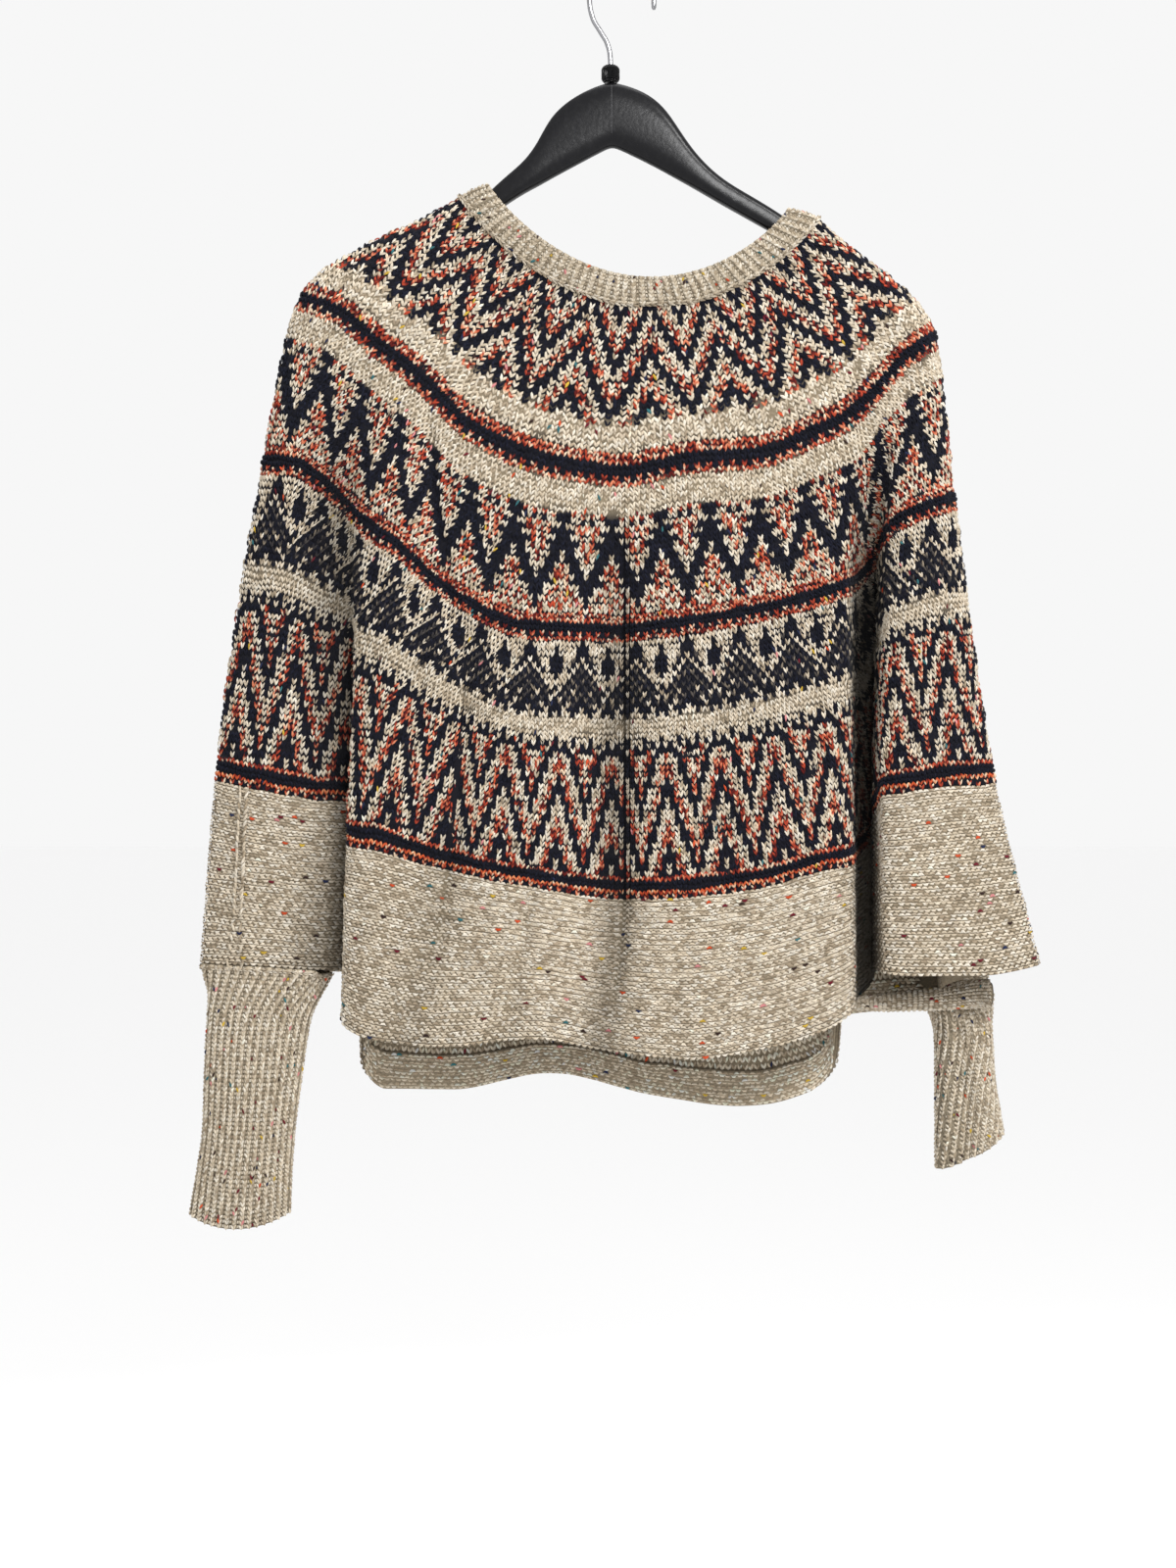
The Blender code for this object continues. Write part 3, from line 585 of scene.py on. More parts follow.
# a loop of the cloth's reverse side, left tip first
LOOP = np.array(
    [(-0.6, 0.24, -0.3), (-0.25, 0.16, -0.1), (-0.2, -0.04, 1.0), (-0.23, -0.27, 0.0), (0.25, 0.16, -0.1),
     (0.2, -0.04, 1.0), (0.23, -0.27, 0.0), (0.6, 0.24, -0.3)]
)
LOOP_FACES = np.array(
    [(0, 1, 2), (0, 2, 3), (1, 4, 5), (1, 5, 2), (2, 5, 6), (2, 6, 3), (4, 7, 5), (5, 7, 6)]
)


def mirrored(strand: Array, side: int) -> tuple[Array, Array]:
    """A strand's points and triangles on the right, 1, or the left, -1, of its stitch."""
    return strand * np.array([side, 1, 1]), STRAND_FACES[:, ::side]


@dataclass(frozen=True)
class Bed:
    """A face of the cloth that stitches lie on, some millimetres out of it, and inside the tube or outside."""

    surface: Surface
    base: float = -0.45
    inside: bool = False

    def frame(self, round_: Array, down: Array, lower: Array | float = 0.0) -> tuple[Array, Array, Array, Array]:
        """Points, lowered by some millimetres, and directions across, down and out."""
        p, across, fall, out = self.surface.at(round_, down)
        if self.inside:
            across, out = -across, -out
        return p + self.base * out + fall * np.reshape(lower, (-1, 1)), across, fall, out


@dataclass
class Strands:
    """A growing heap of short strands of yarn that becomes one mesh."""

    seed: int
    points: list[Array] = field(default_factory=list)
    faces: list[Array] = field(default_factory=list)
    colours: list[Array] = field(default_factory=list)
    shapes: list[Array] = field(default_factory=list)
    count: int = 0

    def __post_init__(self) -> None:
        """Starts the dice that set each strand apart."""
        self.dice = np.random.default_rng(self.seed)

    def add(
        self, frame: tuple[Array, Array, Array, Array], size: tuple[Array | float, Array | float, Array | float],
        shape: Array, faces: Array, colours: Array,
    ) -> None:
        """Lays one strand at each place.

        Args:
            frame: points, and the directions across, down and out.
            size: width and height of the stitch and the lift of the yarn, in millimetres, for each place or all.
            shape: the strand's points in stitch widths, heights and lifts.
            faces: its triangles.
            colours: two colours for each place, of its first and second half.
        """
        where, across, down, out = frame
        n, k = len(where), len(shape)
        width, height, lift = (np.reshape(s, (-1, 1, 1)) for s in size)
        jitter = 1 + 0.07 * self.dice.standard_normal((n, 1, 3))
        s = shape[None] * jitter
        p = (
            where[:, None]
            + across[:, None] * s[..., :1] * width
            + down[:, None] * s[..., 1:2] * height
            + out[:, None] * (s[..., 2:] * lift)
            + 0.1 * self.dice.standard_normal((n, 1, 3))
        )
        first = self.count
        self.points.append(p.reshape(-1, 3))
        index = first + k * np.arange(n)[:, None, None] + faces[None]
        self.faces.append(index.reshape(-1, 3))
        half = np.arange(k) >= k // 2
        self.colours.append(np.where(half[None, :, None], colours[:, 1:2], colours[:, :1]).reshape(-1, 3))
        self.shapes.append(np.broadcast_to(shape[None, :, :2], (n, k, 2)).reshape(-1, 2))
        self.count += n * k

    def shades(self, yarns: Array, fleck: float = 0.014) -> Array:
        """Two colours for each strand of these yarns, with tweed flecks in the oatmeal one."""
        n = len(yarns)
        found = np.zeros((n, 2, 3))
        for yarn, choices in PALETTE.items():
            mask = yarns == yarn
            pick = self.dice.choice(len(choices), (int(mask.sum()), 2), p=[w for _, w in choices])
            if yarn is Yarn.OATMEAL:
                pick[:, 1] = np.where(self.dice.random(len(pick)) < 0.5, pick[:, 0], pick[:, 1])
            found[mask] = linear(np.array([c for c, _ in choices]))[pick]
        chance = np.where(yarns == Yarn.NAVY, fleck * 0.15, fleck)
        mask = self.dice.random(n) < chance
        found[mask] = linear(np.array(FLECKS))[self.dice.integers(len(FLECKS), size=int(mask.sum()))][:, None]
        return found * (1 + 0.09 * self.dice.standard_normal((n, 1, 1))).clip(0.75, 1.25)

    def stitches(
        self, bed: Bed, round_: Array, down: Array, size: tuple, yarns: Array, dim: Array | float = 1.0
    ) -> None:
        """Lays knit stitches, each a V of two strands."""
        frame = bed.frame(round_, down)
        for side in (1, -1):
            # dim scales the colours: painted shade along the folds, painted light inside the back hem
            shades = self.shades(yarns) * np.reshape(dim, (-1, 1, 1))
            self.add(frame, size, *mirrored(STRAND, side), shades)

    def loops(
        self, bed: Bed, round_: Array, down: Array, size: tuple, yarns: Array, dim: Array | float = 1.0
    ) -> None:
        """Lays the loops of reverse knitting: an arch a stitch, and a flatter bowl between each pair."""
        step = float(np.median(np.diff(np.unique(np.round(round_ % 1.0, 7)))))
        for turned, along, lower, lift in ((1, 0.0, -0.24, 1.0), (-1, 0.5, 0.26, 0.8)):
            frame = bed.frame(round_ + along * step, down, lower * size[1])
            # dim scales the colours: painted shade along the folds, painted light inside the back hem
            shades = self.shades(yarns) * np.reshape(dim, (-1, 1, 1))
            self.add(frame, size, LOOP * np.array([1, turned, lift]), LOOP_FACES[:, ::turned], shades)

    def mesh(self, name: str, material: bpy.types.Material) -> bpy.types.Object:
        """Makes the object, with its yarn colours, painted shade among them, and a patch of its UV map, OFBake, for
        each strand.
        """
        points, faces = np.concatenate(self.points) * MM, np.concatenate(self.faces)
        colours = np.concatenate(self.colours)
        thing = raw_mesh(name, points, faces, colours, material)
        shape = np.concatenate(self.shapes)
        strand = np.arange(len(points)) // len(STRAND)
        side = int(math.ceil(math.sqrt(strand[-1] + 1)))
        cell = np.stack([strand % side, strand // side], axis=1)
        spot = (cell + 0.5 + 0.62 * shape) / side
        layer = thing.data.uv_layers.new(name="OFBake")
        layer.data.foreach_set("uv", spot[faces.reshape(-1)].astype(np.float32).ravel())
        return thing


def raw_mesh(
    name: str, points: Array, faces: Array, colours: Array, material: bpy.types.Material
) -> bpy.types.Object:
    """A smooth-shaded object of triangles or quads with a colour at each point."""
    mesh = bpy.data.meshes.new(name)
    corners = faces.shape[1]
    mesh.vertices.add(len(points))
    mesh.vertices.foreach_set("co", points.astype(np.float32).ravel())
    mesh.loops.add(faces.size)
    mesh.loops.foreach_set("vertex_index", faces.astype(np.int32).ravel())
    mesh.polygons.add(len(faces))
    mesh.polygons.foreach_set("loop_start", (np.arange(len(faces)) * corners).astype(np.int32))
    mesh.update(calc_edges=True)
    mesh.polygons.foreach_set("use_smooth", np.ones(len(faces), bool))
    # the colours are the yarn's own, with painted shade and painted light where the callers darken or brighten them
    layer = mesh.color_attributes.new("yarn", "FLOAT_COLOR", "POINT")
    rgba = np.concatenate([colours.clip(0, 1), np.ones((len(colours), 1))], axis=1)
    layer.data.foreach_set("color", rgba.astype(np.float32).ravel())
    mesh.materials.append(material)
    thing = bpy.data.objects.new(name, mesh)
    bpy.context.scene.collection.objects.link(thing)
    return thing


@dataclass
class Paint:
    """A new material, its shader, and a noise in the object's own coordinates."""

    name: str
    scale: float
    detail: float

    def __post_init__(self) -> None:
        """Starts the material."""
        self.made = bpy.data.materials.new(self.name)
        self.made.use_nodes = True
        self.shader = self.made.node_tree.nodes["Principled BSDF"]
        place = self.node("ShaderNodeTexCoord")
        self.noise = self.node("ShaderNodeTexNoise", {"Scale": self.scale, "Detail": self.detail})
        self.link(place, "Object", self.noise, "Vector")

    def node(self, kind: str, values: dict[str, float] | None = None) -> bpy.types.Node:
        """Adds a node with these inputs."""
        added = self.made.node_tree.nodes.new(kind)
        self.set(added, values or {})
        return added

    def set(self, node: bpy.types.Node, values: dict[str, float]) -> None:
        """Sets a node's inputs."""
        for name, value in values.items():
            node.inputs[name].default_value = value

    def link(self, start: bpy.types.Node, output: str, end: bpy.types.Node, entry: str | int) -> None:
        """Joins a node's output to another's input."""
        self.made.node_tree.links.new(start.outputs[output], end.inputs[entry])

    def raise_noise(self, strength: float, distance: float) -> None:
        """Lets the noise stand out as bump."""
        bump = self.node("ShaderNodeBump", {"Strength": strength, "Distance": distance})
        self.link(self.noise, "Fac", bump, "Height")
        self.link(bump, "Normal", self.shader, "Normal")


@dataclass(frozen=True)
class WoolFinish:
    """Wool that takes its colour from the yarn at each point."""

    name: str
    shade: float = 1.0
    grain: float = 900.0
    bump: float = 0.5

    def material(self) -> bpy.types.Material:
        """The material: yarn colour, mottled a little, with a hairy grain."""
        paint = Paint(self.name, self.grain, 3.0)
        # the yarn colours hold painted shade and painted light as well as the yarn's own colour
        yarn = paint.node("ShaderNodeVertexColor")
        yarn.layer_name = "yarn"
        mottle = {"From Min": 0.3, "From Max": 0.7, "To Min": 0.74 * self.shade, "To Max": 1.16 * self.shade}
        ramp = paint.node("ShaderNodeMapRange", mottle)
        paint.link(paint.noise, "Fac", ramp, "Value")
        scale = paint.node("ShaderNodeVectorMath")
        scale.operation = "SCALE"
        paint.link(yarn, "Color", scale, 0)
        paint.link(ramp, "Result", scale, "Scale")
        paint.link(scale, "Vector", paint.shader, "Base Color")
        paint.raise_noise(self.bump, 0.0006)
        wool = {"Roughness": 0.92, "Specular IOR Level": 0.15, "Sheen Weight": 0.04, "Sheen Roughness": 0.6}
        paint.set(paint.shader, wool)
        return paint.made


@dataclass(frozen=True)
class HardFinish:
    """Plastic or metal with a fine grain."""

    name: str
    colour: tuple[float, float, float]
    roughness: float
    metallic: float = 0.0
    grain: float = 0.0
    speckle: float = 0.0
    shine: float = 0.5
    peel: float = 1300.0

    def material(self) -> bpy.types.Material:
        """The material, with its grain as bump and its speckle as paler dots."""
        paint = Paint(self.name, self.peel, 4.0)
        paint.set(paint.shader, {"Metallic": self.metallic, "Specular IOR Level": self.shine})
        ramp = paint.node("ShaderNodeValToRGB")
        pale = tuple(min(1.0, c + self.speckle) for c in self.colour)
        for stop, position, colour in zip(ramp.color_ramp.elements, (0.5, 0.72), (self.colour, pale)):
            stop.position, stop.color = position, (*colour, 1)
        paint.link(paint.noise, "Fac", ramp, "Fac")
        paint.link(ramp, "Color", paint.shader, "Base Color")
        rough = paint.node("ShaderNodeMapRange", {"To Min": self.roughness * 0.8, "To Max": self.roughness * 1.2})
        paint.link(paint.noise, "Fac", rough, "Value")
        paint.link(rough, "Result", paint.shader, "Roughness")
        paint.raise_noise(self.grain, 0.0004)
        return paint.made


BLACK = HardFinish("black_gloss", (0.006, 0.006, 0.007), 0.22, 0.0, 0.2, 0.002, 0.17, 280.0)
BLACK_LINE = HardFinish("black_parting", (0.04, 0.04, 0.043), 0.4, 0.0, 0.2, 0.05, 0.3)
BEAD = HardFinish("black_bead", (0.006, 0.006, 0.007), 0.12, 0.0, 0.05, 0.0, 0.3)
CHROME = HardFinish("bright_wire", (0.3, 0.3, 0.31), 0.22, 1.0, 0.05, 0.03)
KNIT = WoolFinish("colourwork_wool", 0.68)
RIB = WoolFinish("rib_wool", 0.68)
PLAIN = WoolFinish("plain_wool", 0.66)
# the cloth between stitches is coloured by painted shade
GAPS = WoolFinish("cloth_between_stitches", 0.9, 700.0, 0.3)


def shell(
    name: str, surface: Surface, share: tuple[float, float], grid: tuple[int, int], depth: tuple[float, float],
    tint: Callable[[Array, Array], Array], material: bpy.types.Material,
    relief: Callable[[Array, Array], Array] | None = None,
) -> bpy.types.Object:
    """A closed wall of cloth under the stitches.

    Args:
        name: the object's name.
        surface: the tube that it follows.
        share: where it starts and ends on the way down.
        grid: its rows and columns.
        depth: how far its outer and inner faces lie under the surface, in millimetres.
        tint: gives colours, painted shade among them, from the shares round and down.
        material: its finish.
        relief: how far it stands out, from the shares round and down.

    Returns:
        The object.
    """
    rows, columns = grid
    v, u = np.meshgrid(np.linspace(*share, rows), np.arange(columns) / columns, indexing="ij")
    p, _, _, out = surface.at(u, v)
    rise = relief(u, v)[..., None] if relief else 0.0
    layers = [p + (rise - depth[0]) * out, p - depth[1] * out]
    points = np.concatenate([layer.reshape(-1, 3) for layer in layers])
    r, c = np.meshgrid(np.arange(rows - 1), np.arange(columns), indexing="ij")
    a, b = r * columns + c, r * columns + (c + 1) % columns
    outer = np.stack([a, a + columns, b + columns, b], axis=-1).reshape(-1, 4)
    inner = outer[:, ::-1] + rows * columns
    c = np.arange(columns)
    n = (c + 1) % columns
    low, back = (rows - 1) * columns, rows * columns
    rims = [np.stack([c, n, n + back, c + back], axis=-1), np.stack([n, c, c + back, n + back], axis=-1) + low]
    colours = tint(np.concatenate([u.ravel(), u.ravel()]), np.concatenate([v.ravel(), v.ravel()]))
    return raw_mesh(name, points * MM, np.concatenate([outer, inner, *rims]), colours, material)


def cells(columns: int, rows: int, share: tuple[float, float], part: tuple[float, float] = (0.0, 1.0)) -> tuple:
    """Rows, columns and middles of a band's stitches, as flat arrays of row, column, share round and share down."""
    row, col = np.meshgrid(np.arange(rows), np.arange(columns), indexing="ij")
    round_ = (col + 0.5) / columns
    keep = ((round_ - part[0]) % 1.0 < (part[1] - part[0]) % 1.0) if part != (0.0, 1.0) else np.ones(row.shape, bool)
    down = share[0] + (row + 0.5) / rows * (share[1] - share[0])
    return row[keep], col[keep], round_[keep], down[keep]


@dataclass
class Knitting:
    """The cloth from neck seam to hem and everything knitted on it."""

    drape: Drape
    length: float = 565.0
    wall: float = 3.0
    hem_columns: int = 356
    hem_rows: int = 29
    yarn_lift: float = 0.85
    edge_lift: float = 1.5
    facing_from: float = 0.965
    inside_from: float = 0.895
    inside_height: float = 4.1
    seam_stitch: float = 4.4

    def __post_init__(self) -> None:
        """Works the surface out once."""
        self.surface = self.drape.surface()

    def share_round(self, fold: tuple[str, float]) -> float:
        """The share of the hem's length, from the front's centre crease, at a fold line."""
        start = self.drape.place(("centre_crease", 0.0))
        end = self.drape.place(fold)
        girth = self.drape.places[-1]
        part = self.drape.ring(start + np.linspace(0, (end - start) % girth, 900), 1.0)
        whole = self.drape.ring(start + np.linspace(0, girth, FINE), 1.0)
        lengths = [float(np.linalg.norm(np.diff(line, axis=0), axis=1).sum()) for line in (part, whole)]
        return lengths[0] / lengths[1]

    def painted_gap_shade(self, round_: Array, down: Array) -> Array:
        """Painted shade between stitches: dark over the patterned bands, where the navy carried behind them shows, and
        darker along the folds.
        """
        found = np.tile(linear(OATMEAL_GAP_SHADE), (len(down), 1))
        for band in BANDS:
            if band.chart is not plain:
                found[(down >= band.top) & (down <= band.bottom)] = linear(FLOATS_AND_GAP_SHADE)
        return found * self.drape.shade(round_, down)[:, None]

    def roll_painted_shade(self, round_: Array, down: Array) -> Array:
        """Painted shade: pale between the loops outside and dark inside the roll, as the two halves of a shell's
        points come.
        """
        colours = np.tile(linear(OATMEAL_GAP_SHADE), (len(down), 1))
        colours[len(down) // 2 :] = linear(ROLL_INSIDE_SHADE)
        return colours

    def bands(self) -> list[bpy.types.Object]:
        """The patterned bands, as one piece for each group."""
        made = []
        for i, (name, bands) in enumerate(PIECES.items()):
            heap = Strands(seed=11 + i)
            for band in bands:
                row, col, round_, down = cells(band.columns, band.rows, (band.top, band.bottom))
                width = np.array([self.surface.girth(d) for d in np.linspace(band.top, band.bottom, band.rows)])
                height = (band.bottom - band.top) * self.length / band.rows
                size = (width[row] / band.columns, height, self.yarn_lift * band.lifts(row))
                # painted shade along the folds, on the yarn's colours
                shade = self.drape.shade(round_, down)
                heap.stitches(Bed(self.surface), round_, down, size, band.chart(row, col), shade)
            made.append(heap.mesh(name, MATERIALS["knit"]))
            log.info("%s: %d strands", name, heap.count // len(STRAND))
        return made

    def hem_loops(self) -> bpy.types.Object:
        """The plain band's reverse knitting, ridge under ridge."""
        heap = Strands(seed=31)
        row, _, round_, down = cells(self.hem_columns, self.hem_rows, (STRIPE_END, 1.0))
        width, height = self.surface.girth(0.9) / self.hem_columns, (1 - STRIPE_END) * self.length / self.hem_rows
        lift = self.yarn_lift * np.where(row == self.hem_rows - 1, self.edge_lift, 1.0)
        # painted shade along the folds, on the yarn's colours
        shade = self.drape.shade(round_, down)
        heap.loops(Bed(self.surface), round_, down, (width, height, lift), plain(row, row), shade)
        made = heap.mesh("hem_loops", MATERIALS["plain"])
        log.info("hem_loops: %d strands", heap.count // len(STRAND))
        return made

    def side_seam(self) -> bpy.types.Object:
        """The seam down the left side of the plain band: a line of small stitches that gathers to a point."""
        heap = Strands(seed=37)
        down = np.linspace(STRIPE_END + 0.004, 0.998, 34)
        shares = np.linspace(0.74, 0.86, 400)
        start = np.array([
            shares[np.argmin(np.abs(self.surface.at(shares, np.full(shares.shape, d))[0][:, 0] - x))]
            for d, x in zip(down, np.linspace(-277, -283, len(down)))
        ])
        spread = 0.0011 * (1 + 1.6 * np.clip((down - 0.955) / 0.045, 0, 1))
        for side in (-1, 1):
            p, across, fall, out = self.surface.at(start + side * spread, down)
            shades = heap.shades(plain(down, down), 0.0)
            size = (self.seam_stitch, 1.2 * self.seam_stitch, 0.4 * self.seam_stitch)
            heap.add((p + 0.9 * out, across, fall, out), size, *mirrored(STRAND, side), shades)
        made = heap.mesh("side_seam", MATERIALS["plain"])
        return made

    def hem_roll(self) -> list[bpy.types.Object]:
        """The right rear hem that curls forward under the flap, with its open end."""
        route = np.array([(172, 12, -773), (200, 6, -771), (234, 2, -768), (259, -3, -764), (267, -22, -762)], float)
        thick = np.array([[4.0], [6.0], [7.5], [9.0], [9.0]])
        knots = np.linspace(0, 1, len(route))
        fine = np.linspace(0, 1, 40)
        line, radius = curve(knots, route, fine), curve(knots, thick, fine)
        turns = np.linspace(0, 2 * np.pi, 72, endpoint=False)
        ring = np.stack([0 * turns, -np.cos(turns), 1.15 * np.sin(turns)], axis=1)
        tube = Surface(line[:, None] + ring[None] * radius[:, None])
        cloth = shell("rear_hem_roll", tube, (0.0, 1.0), (20, 36), (0.7, 2.6), self.roll_painted_shade, MATERIALS["gaps"])
        heap = Strands(seed=39)
        row, _, round_, down = cells(24, 36, (0.0, 1.0))
        p, across, fall, out = tube.at(round_, down)
        heap.add((p - 0.4 * out, fall, -across, out), (3.3, 4.2, 0.9), LOOP, LOOP_FACES, heap.shades(plain(row, row)))
        made = [cloth, heap.mesh("rear_hem_roll_loops", MATERIALS["plain"])]
        return made

    def hem_inside(self, facing: Surface) -> list[bpy.types.Object]:
        """The stitches seen inside the back hem, and the loops on its turned-up facing."""
        part = (self.share_round(("side_back", 0.0)), self.share_round(("left_back", 0.0)))
        inner = Surface(self.surface.points - self.wall * self.surface.out)
        high, low = (self.inside_from, self.facing_from), (self.facing_from, 1.0)
        rows = round((self.facing_from - self.inside_from) * self.length / self.inside_height)
        made = []
        # the last number brightens the yarn's colours: painted light on the inside of the back hem, which the front
        # shades
        for name, seed, lay, surface, count, share, height, lift, dim in (
            ("hem_inside_stitches", 41, Strands.stitches, inner, rows, high, self.inside_height, 0.8, 1.2),
            ("facing_loops", 43, Strands.loops, facing, 5, low, 4.0, 1.1, 1.25),
        ):
            heap = Strands(seed=seed)
            row, _, round_, down = cells(self.hem_columns, count, share, part)
            size = (surface.girth(0.9) / self.hem_columns, height, lift)
            lay(heap, Bed(surface, 0.15, inside=True), round_, down, size, plain(row, row), dim)
            made.append(heap.mesh(name, MATERIALS["plain"]))
        return made

    def facing(self) -> tuple[bpy.types.Object, Surface]:
        """The turned-up inside of the back hem: a strip with rounded edges, and the tube its loops lie on."""
        tube = Surface(self.surface.points - (self.wall + 2.3) * self.surface.out)
        start, end = self.share_round(("side_back", 0.3)), self.share_round(("tuck_left", 0.0))
        rows, columns = 7, 220
        v, u = np.meshgrid(np.linspace(self.facing_from, 1.0, rows), np.linspace(start, end, columns), indexing="ij")
        p, _, _, out = self.surface.at(u, v)
        layers = [p - (self.wall + 0.3) * out, p - (self.wall + 2.3) * out]
        points = np.concatenate([layer.reshape(-1, 3) for layer in layers])
        r, c = np.meshgrid(np.arange(rows - 1), np.arange(columns - 1), indexing="ij")
        a = (r * columns + c).ravel()
        near = np.stack([a, a + columns, a + columns + 1, a + 1], axis=-1)
        back = rows * columns
        edge = np.concatenate([
            np.arange(columns), columns * np.arange(2, rows + 1) - 1, back - 2 - np.arange(columns - 1),
            columns * np.arange(rows - 2, 0, -1),
        ])
        after = np.roll(edge, -1)
        rim = np.stack([edge, after, after + back, edge + back], axis=-1)
        faces = np.concatenate([near, near[:, ::-1] + back, rim])
        # painted shade between the facing's loops
        colours = np.tile(linear(FACING_GAP_SHADE), (len(points), 1))
        made = raw_mesh("facing_cloth", points * MM, faces, colours, MATERIALS["gaps"])
        return made, tube

    def build(self) -> None:
        """Makes the cloth and its stitches, and hides the solids that they stand for."""
        yoke = shell(
            "yoke_cloth", self.surface, (0.0, STRIPE_END), (46, 250), (0.9, self.wall), self.painted_gap_shade,
            MATERIALS["gaps"],
        )
        hem = shell(
            "hem_cloth", self.surface, (STRIPE_END + 0.0004, 1.0), (14, 250), (0.9, self.wall), self.painted_gap_shade,
            MATERIALS["gaps"],
        )
        facing, tube = self.facing()
        bands = self.bands()
        loops = self.hem_loops()
        inside, facing_loops = self.hem_inside(tube)
        extras = [self.side_seam(), *self.hem_roll()]
        girths = [self.surface.girth(d) * MM for d in (0.0, 0.2, 0.4, STRIPE_END, 1.0)]
        log.info("girths %s", [round(g, 3) for g in girths])
        facing_width = (self.share_round(("tuck_left", 0.0)) - self.share_round(("tuck_right", 0.0))) * girths[4]
        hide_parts("front", "back")
        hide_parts("front_hem_band", "back_hem_band")
        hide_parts("back_hem_facing")
        for piece in (yoke, hem, facing, *bands, loops, inside, facing_loops, *extras):
            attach(piece, "root")


RIB_STRAND = STRAND - np.array([0.0, 0.0, 1.0]) * (2.6 * STRAND[:, :1] ** 2)


@dataclass
class Rib:
    """A ribbed tube: a neckband or a cuff."""

    name: str
    rings: Array
    ribs: int
    rows: int
    wall: float = 3.2
    rise: float = 1.3
    seed: int = 51
    slant: float = 0.0
    share_knit: float = 0.66
    fleck: float = 0.03
    inside_rows: int = 0
    chain: int = 0
    chain_at: float = 0.985
    deep: tuple[float, float] = (0.0, 1.0)
    dim: float = 1.0

    def __post_init__(self) -> None:
        """Runs smooth lines down through the rings."""
        count = len(self.rings)
        flat = self.rings.reshape(count, -1)
        falls = np.linalg.norm(np.diff(self.rings, axis=0), axis=2).mean(axis=1)
        far = np.concatenate([[0.0], np.cumsum(falls)])
        at = np.linspace(0.0, far[-1], 49)
        self.length = float(far[-1])
        self.surface = Surface(curve(far, flat, at).reshape(len(at), -1, 3))

    def crest(self, round_: Array, down: Array) -> Array:
        """Where a place lies between a groove, 0, and the crest of a rib, 1."""
        return 0.5 + 0.5 * np.cos(2 * np.pi * self.ribs * (round_ + self.slant * down))

    def swell(self, round_: Array) -> Array:
        """The ribs' height at a share of the way round, in millimetres."""
        start, end = self.deep
        return self.rise * np.where((start <= round_ % 1.0) & (round_ % 1.0 <= end), 1.0, 0.35)

    def relief(self, round_: Array, down: Array) -> Array:
        """How far the cloth stands out, ribs over grooves."""
        return self.swell(round_) * self.crest(round_, down) - 0.35

    def tint(self, round_: Array, down: Array) -> Array:
        """Painted shade: dark in the grooves, paler on the lit ribs."""
        high = self.crest(round_, down)[:, None]
        return (linear(RIB_GROOVE_SHADE) * (1 - high) + linear(RIB_CREST_LIT) * high) * self.dim

    def lay_chain(self, heap: Strands) -> None:
        """Lays the chain of sewn stitches along the seam with the cloth."""
        col = np.arange(self.chain)
        p, across, fall, out = self.surface.at((col + 0.5) / self.chain, np.full(self.chain, self.chain_at))
        n = self.surface.girth(self.chain_at) / self.chain
        for side in (1, -1):
            shades = heap.shades(plain(col, col)) * self.dim
            heap.add((p + 0.9 * out, fall, -across, out), (0.8 * n, n, 0.36 * n), *mirrored(STRAND, side), shades)

    def build(self, rests_on: list[str]) -> None:
        """Makes the ribbed cloth and the stitches down its ribs."""
        cloth = shell(
            f"{self.name}_cloth", self.surface, (0.0, 1.0), (12, self.ribs * 4), (0.2, self.wall), self.tint,
            MATERIALS["gaps"], self.relief,
        )
        heap = Strands(seed=self.seed)
        row, col = (a.ravel() for a in np.meshgrid(np.arange(self.rows), np.arange(self.ribs), indexing="ij"))
        down = (row + 0.5) / self.rows
        round_ = col / self.ribs - self.slant * down
        girth = np.array([self.surface.girth(d) for d in (np.arange(self.rows) + 0.5) / self.rows])[row]
        pitch, height, yarns = girth / self.ribs, self.length / self.rows, plain(row, col)
        p, across, fall, out = self.surface.at(round_, down)
        p = p + (self.swell(round_) - 0.45)[:, None] * out
        for side in (1, -1):
            shades = heap.shades(yarns, self.fleck) * self.dim
            size = (pitch * self.share_knit, height, 0.8)
            heap.add((p, across, fall, out), size, *mirrored(RIB_STRAND, side), shades)
        # the purl loops between the ribs, their colours at 0.92: painted shade in the grooves
        p, across, fall, out = self.surface.at(round_ + 0.5 / self.ribs, down)
        size = (pitch * (1.0 - self.share_knit) * 0.9, height * 1.5, 0.6)
        shades = heap.shades(yarns, self.fleck) * 0.92 * self.dim
        heap.add((p - 0.25 * out, across, fall, out), size, LOOP, LOOP_FACES, shades)
        if self.chain:
            self.lay_chain(heap)
        if self.inside_rows:
            inner = Surface(self.surface.points - self.wall * self.surface.out)
            row, col, round_, down = cells(self.ribs, self.inside_rows, (0.0, 1.0))
            size = (inner.girth(0.5) / self.ribs * 0.8, self.length / self.inside_rows, 0.8)
            heap.stitches(Bed(inner, -0.1, inside=True), round_, down, size, plain(row, col))
        stitches = heap.mesh(f"{self.name}_stitches", MATERIALS["rib"])
        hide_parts(self.name)
        for piece in (cloth, stitches):
            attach(piece, "root")
        log.info("%s: %d ribs, %d strands", self.name, self.ribs, heap.count // len(STRAND))


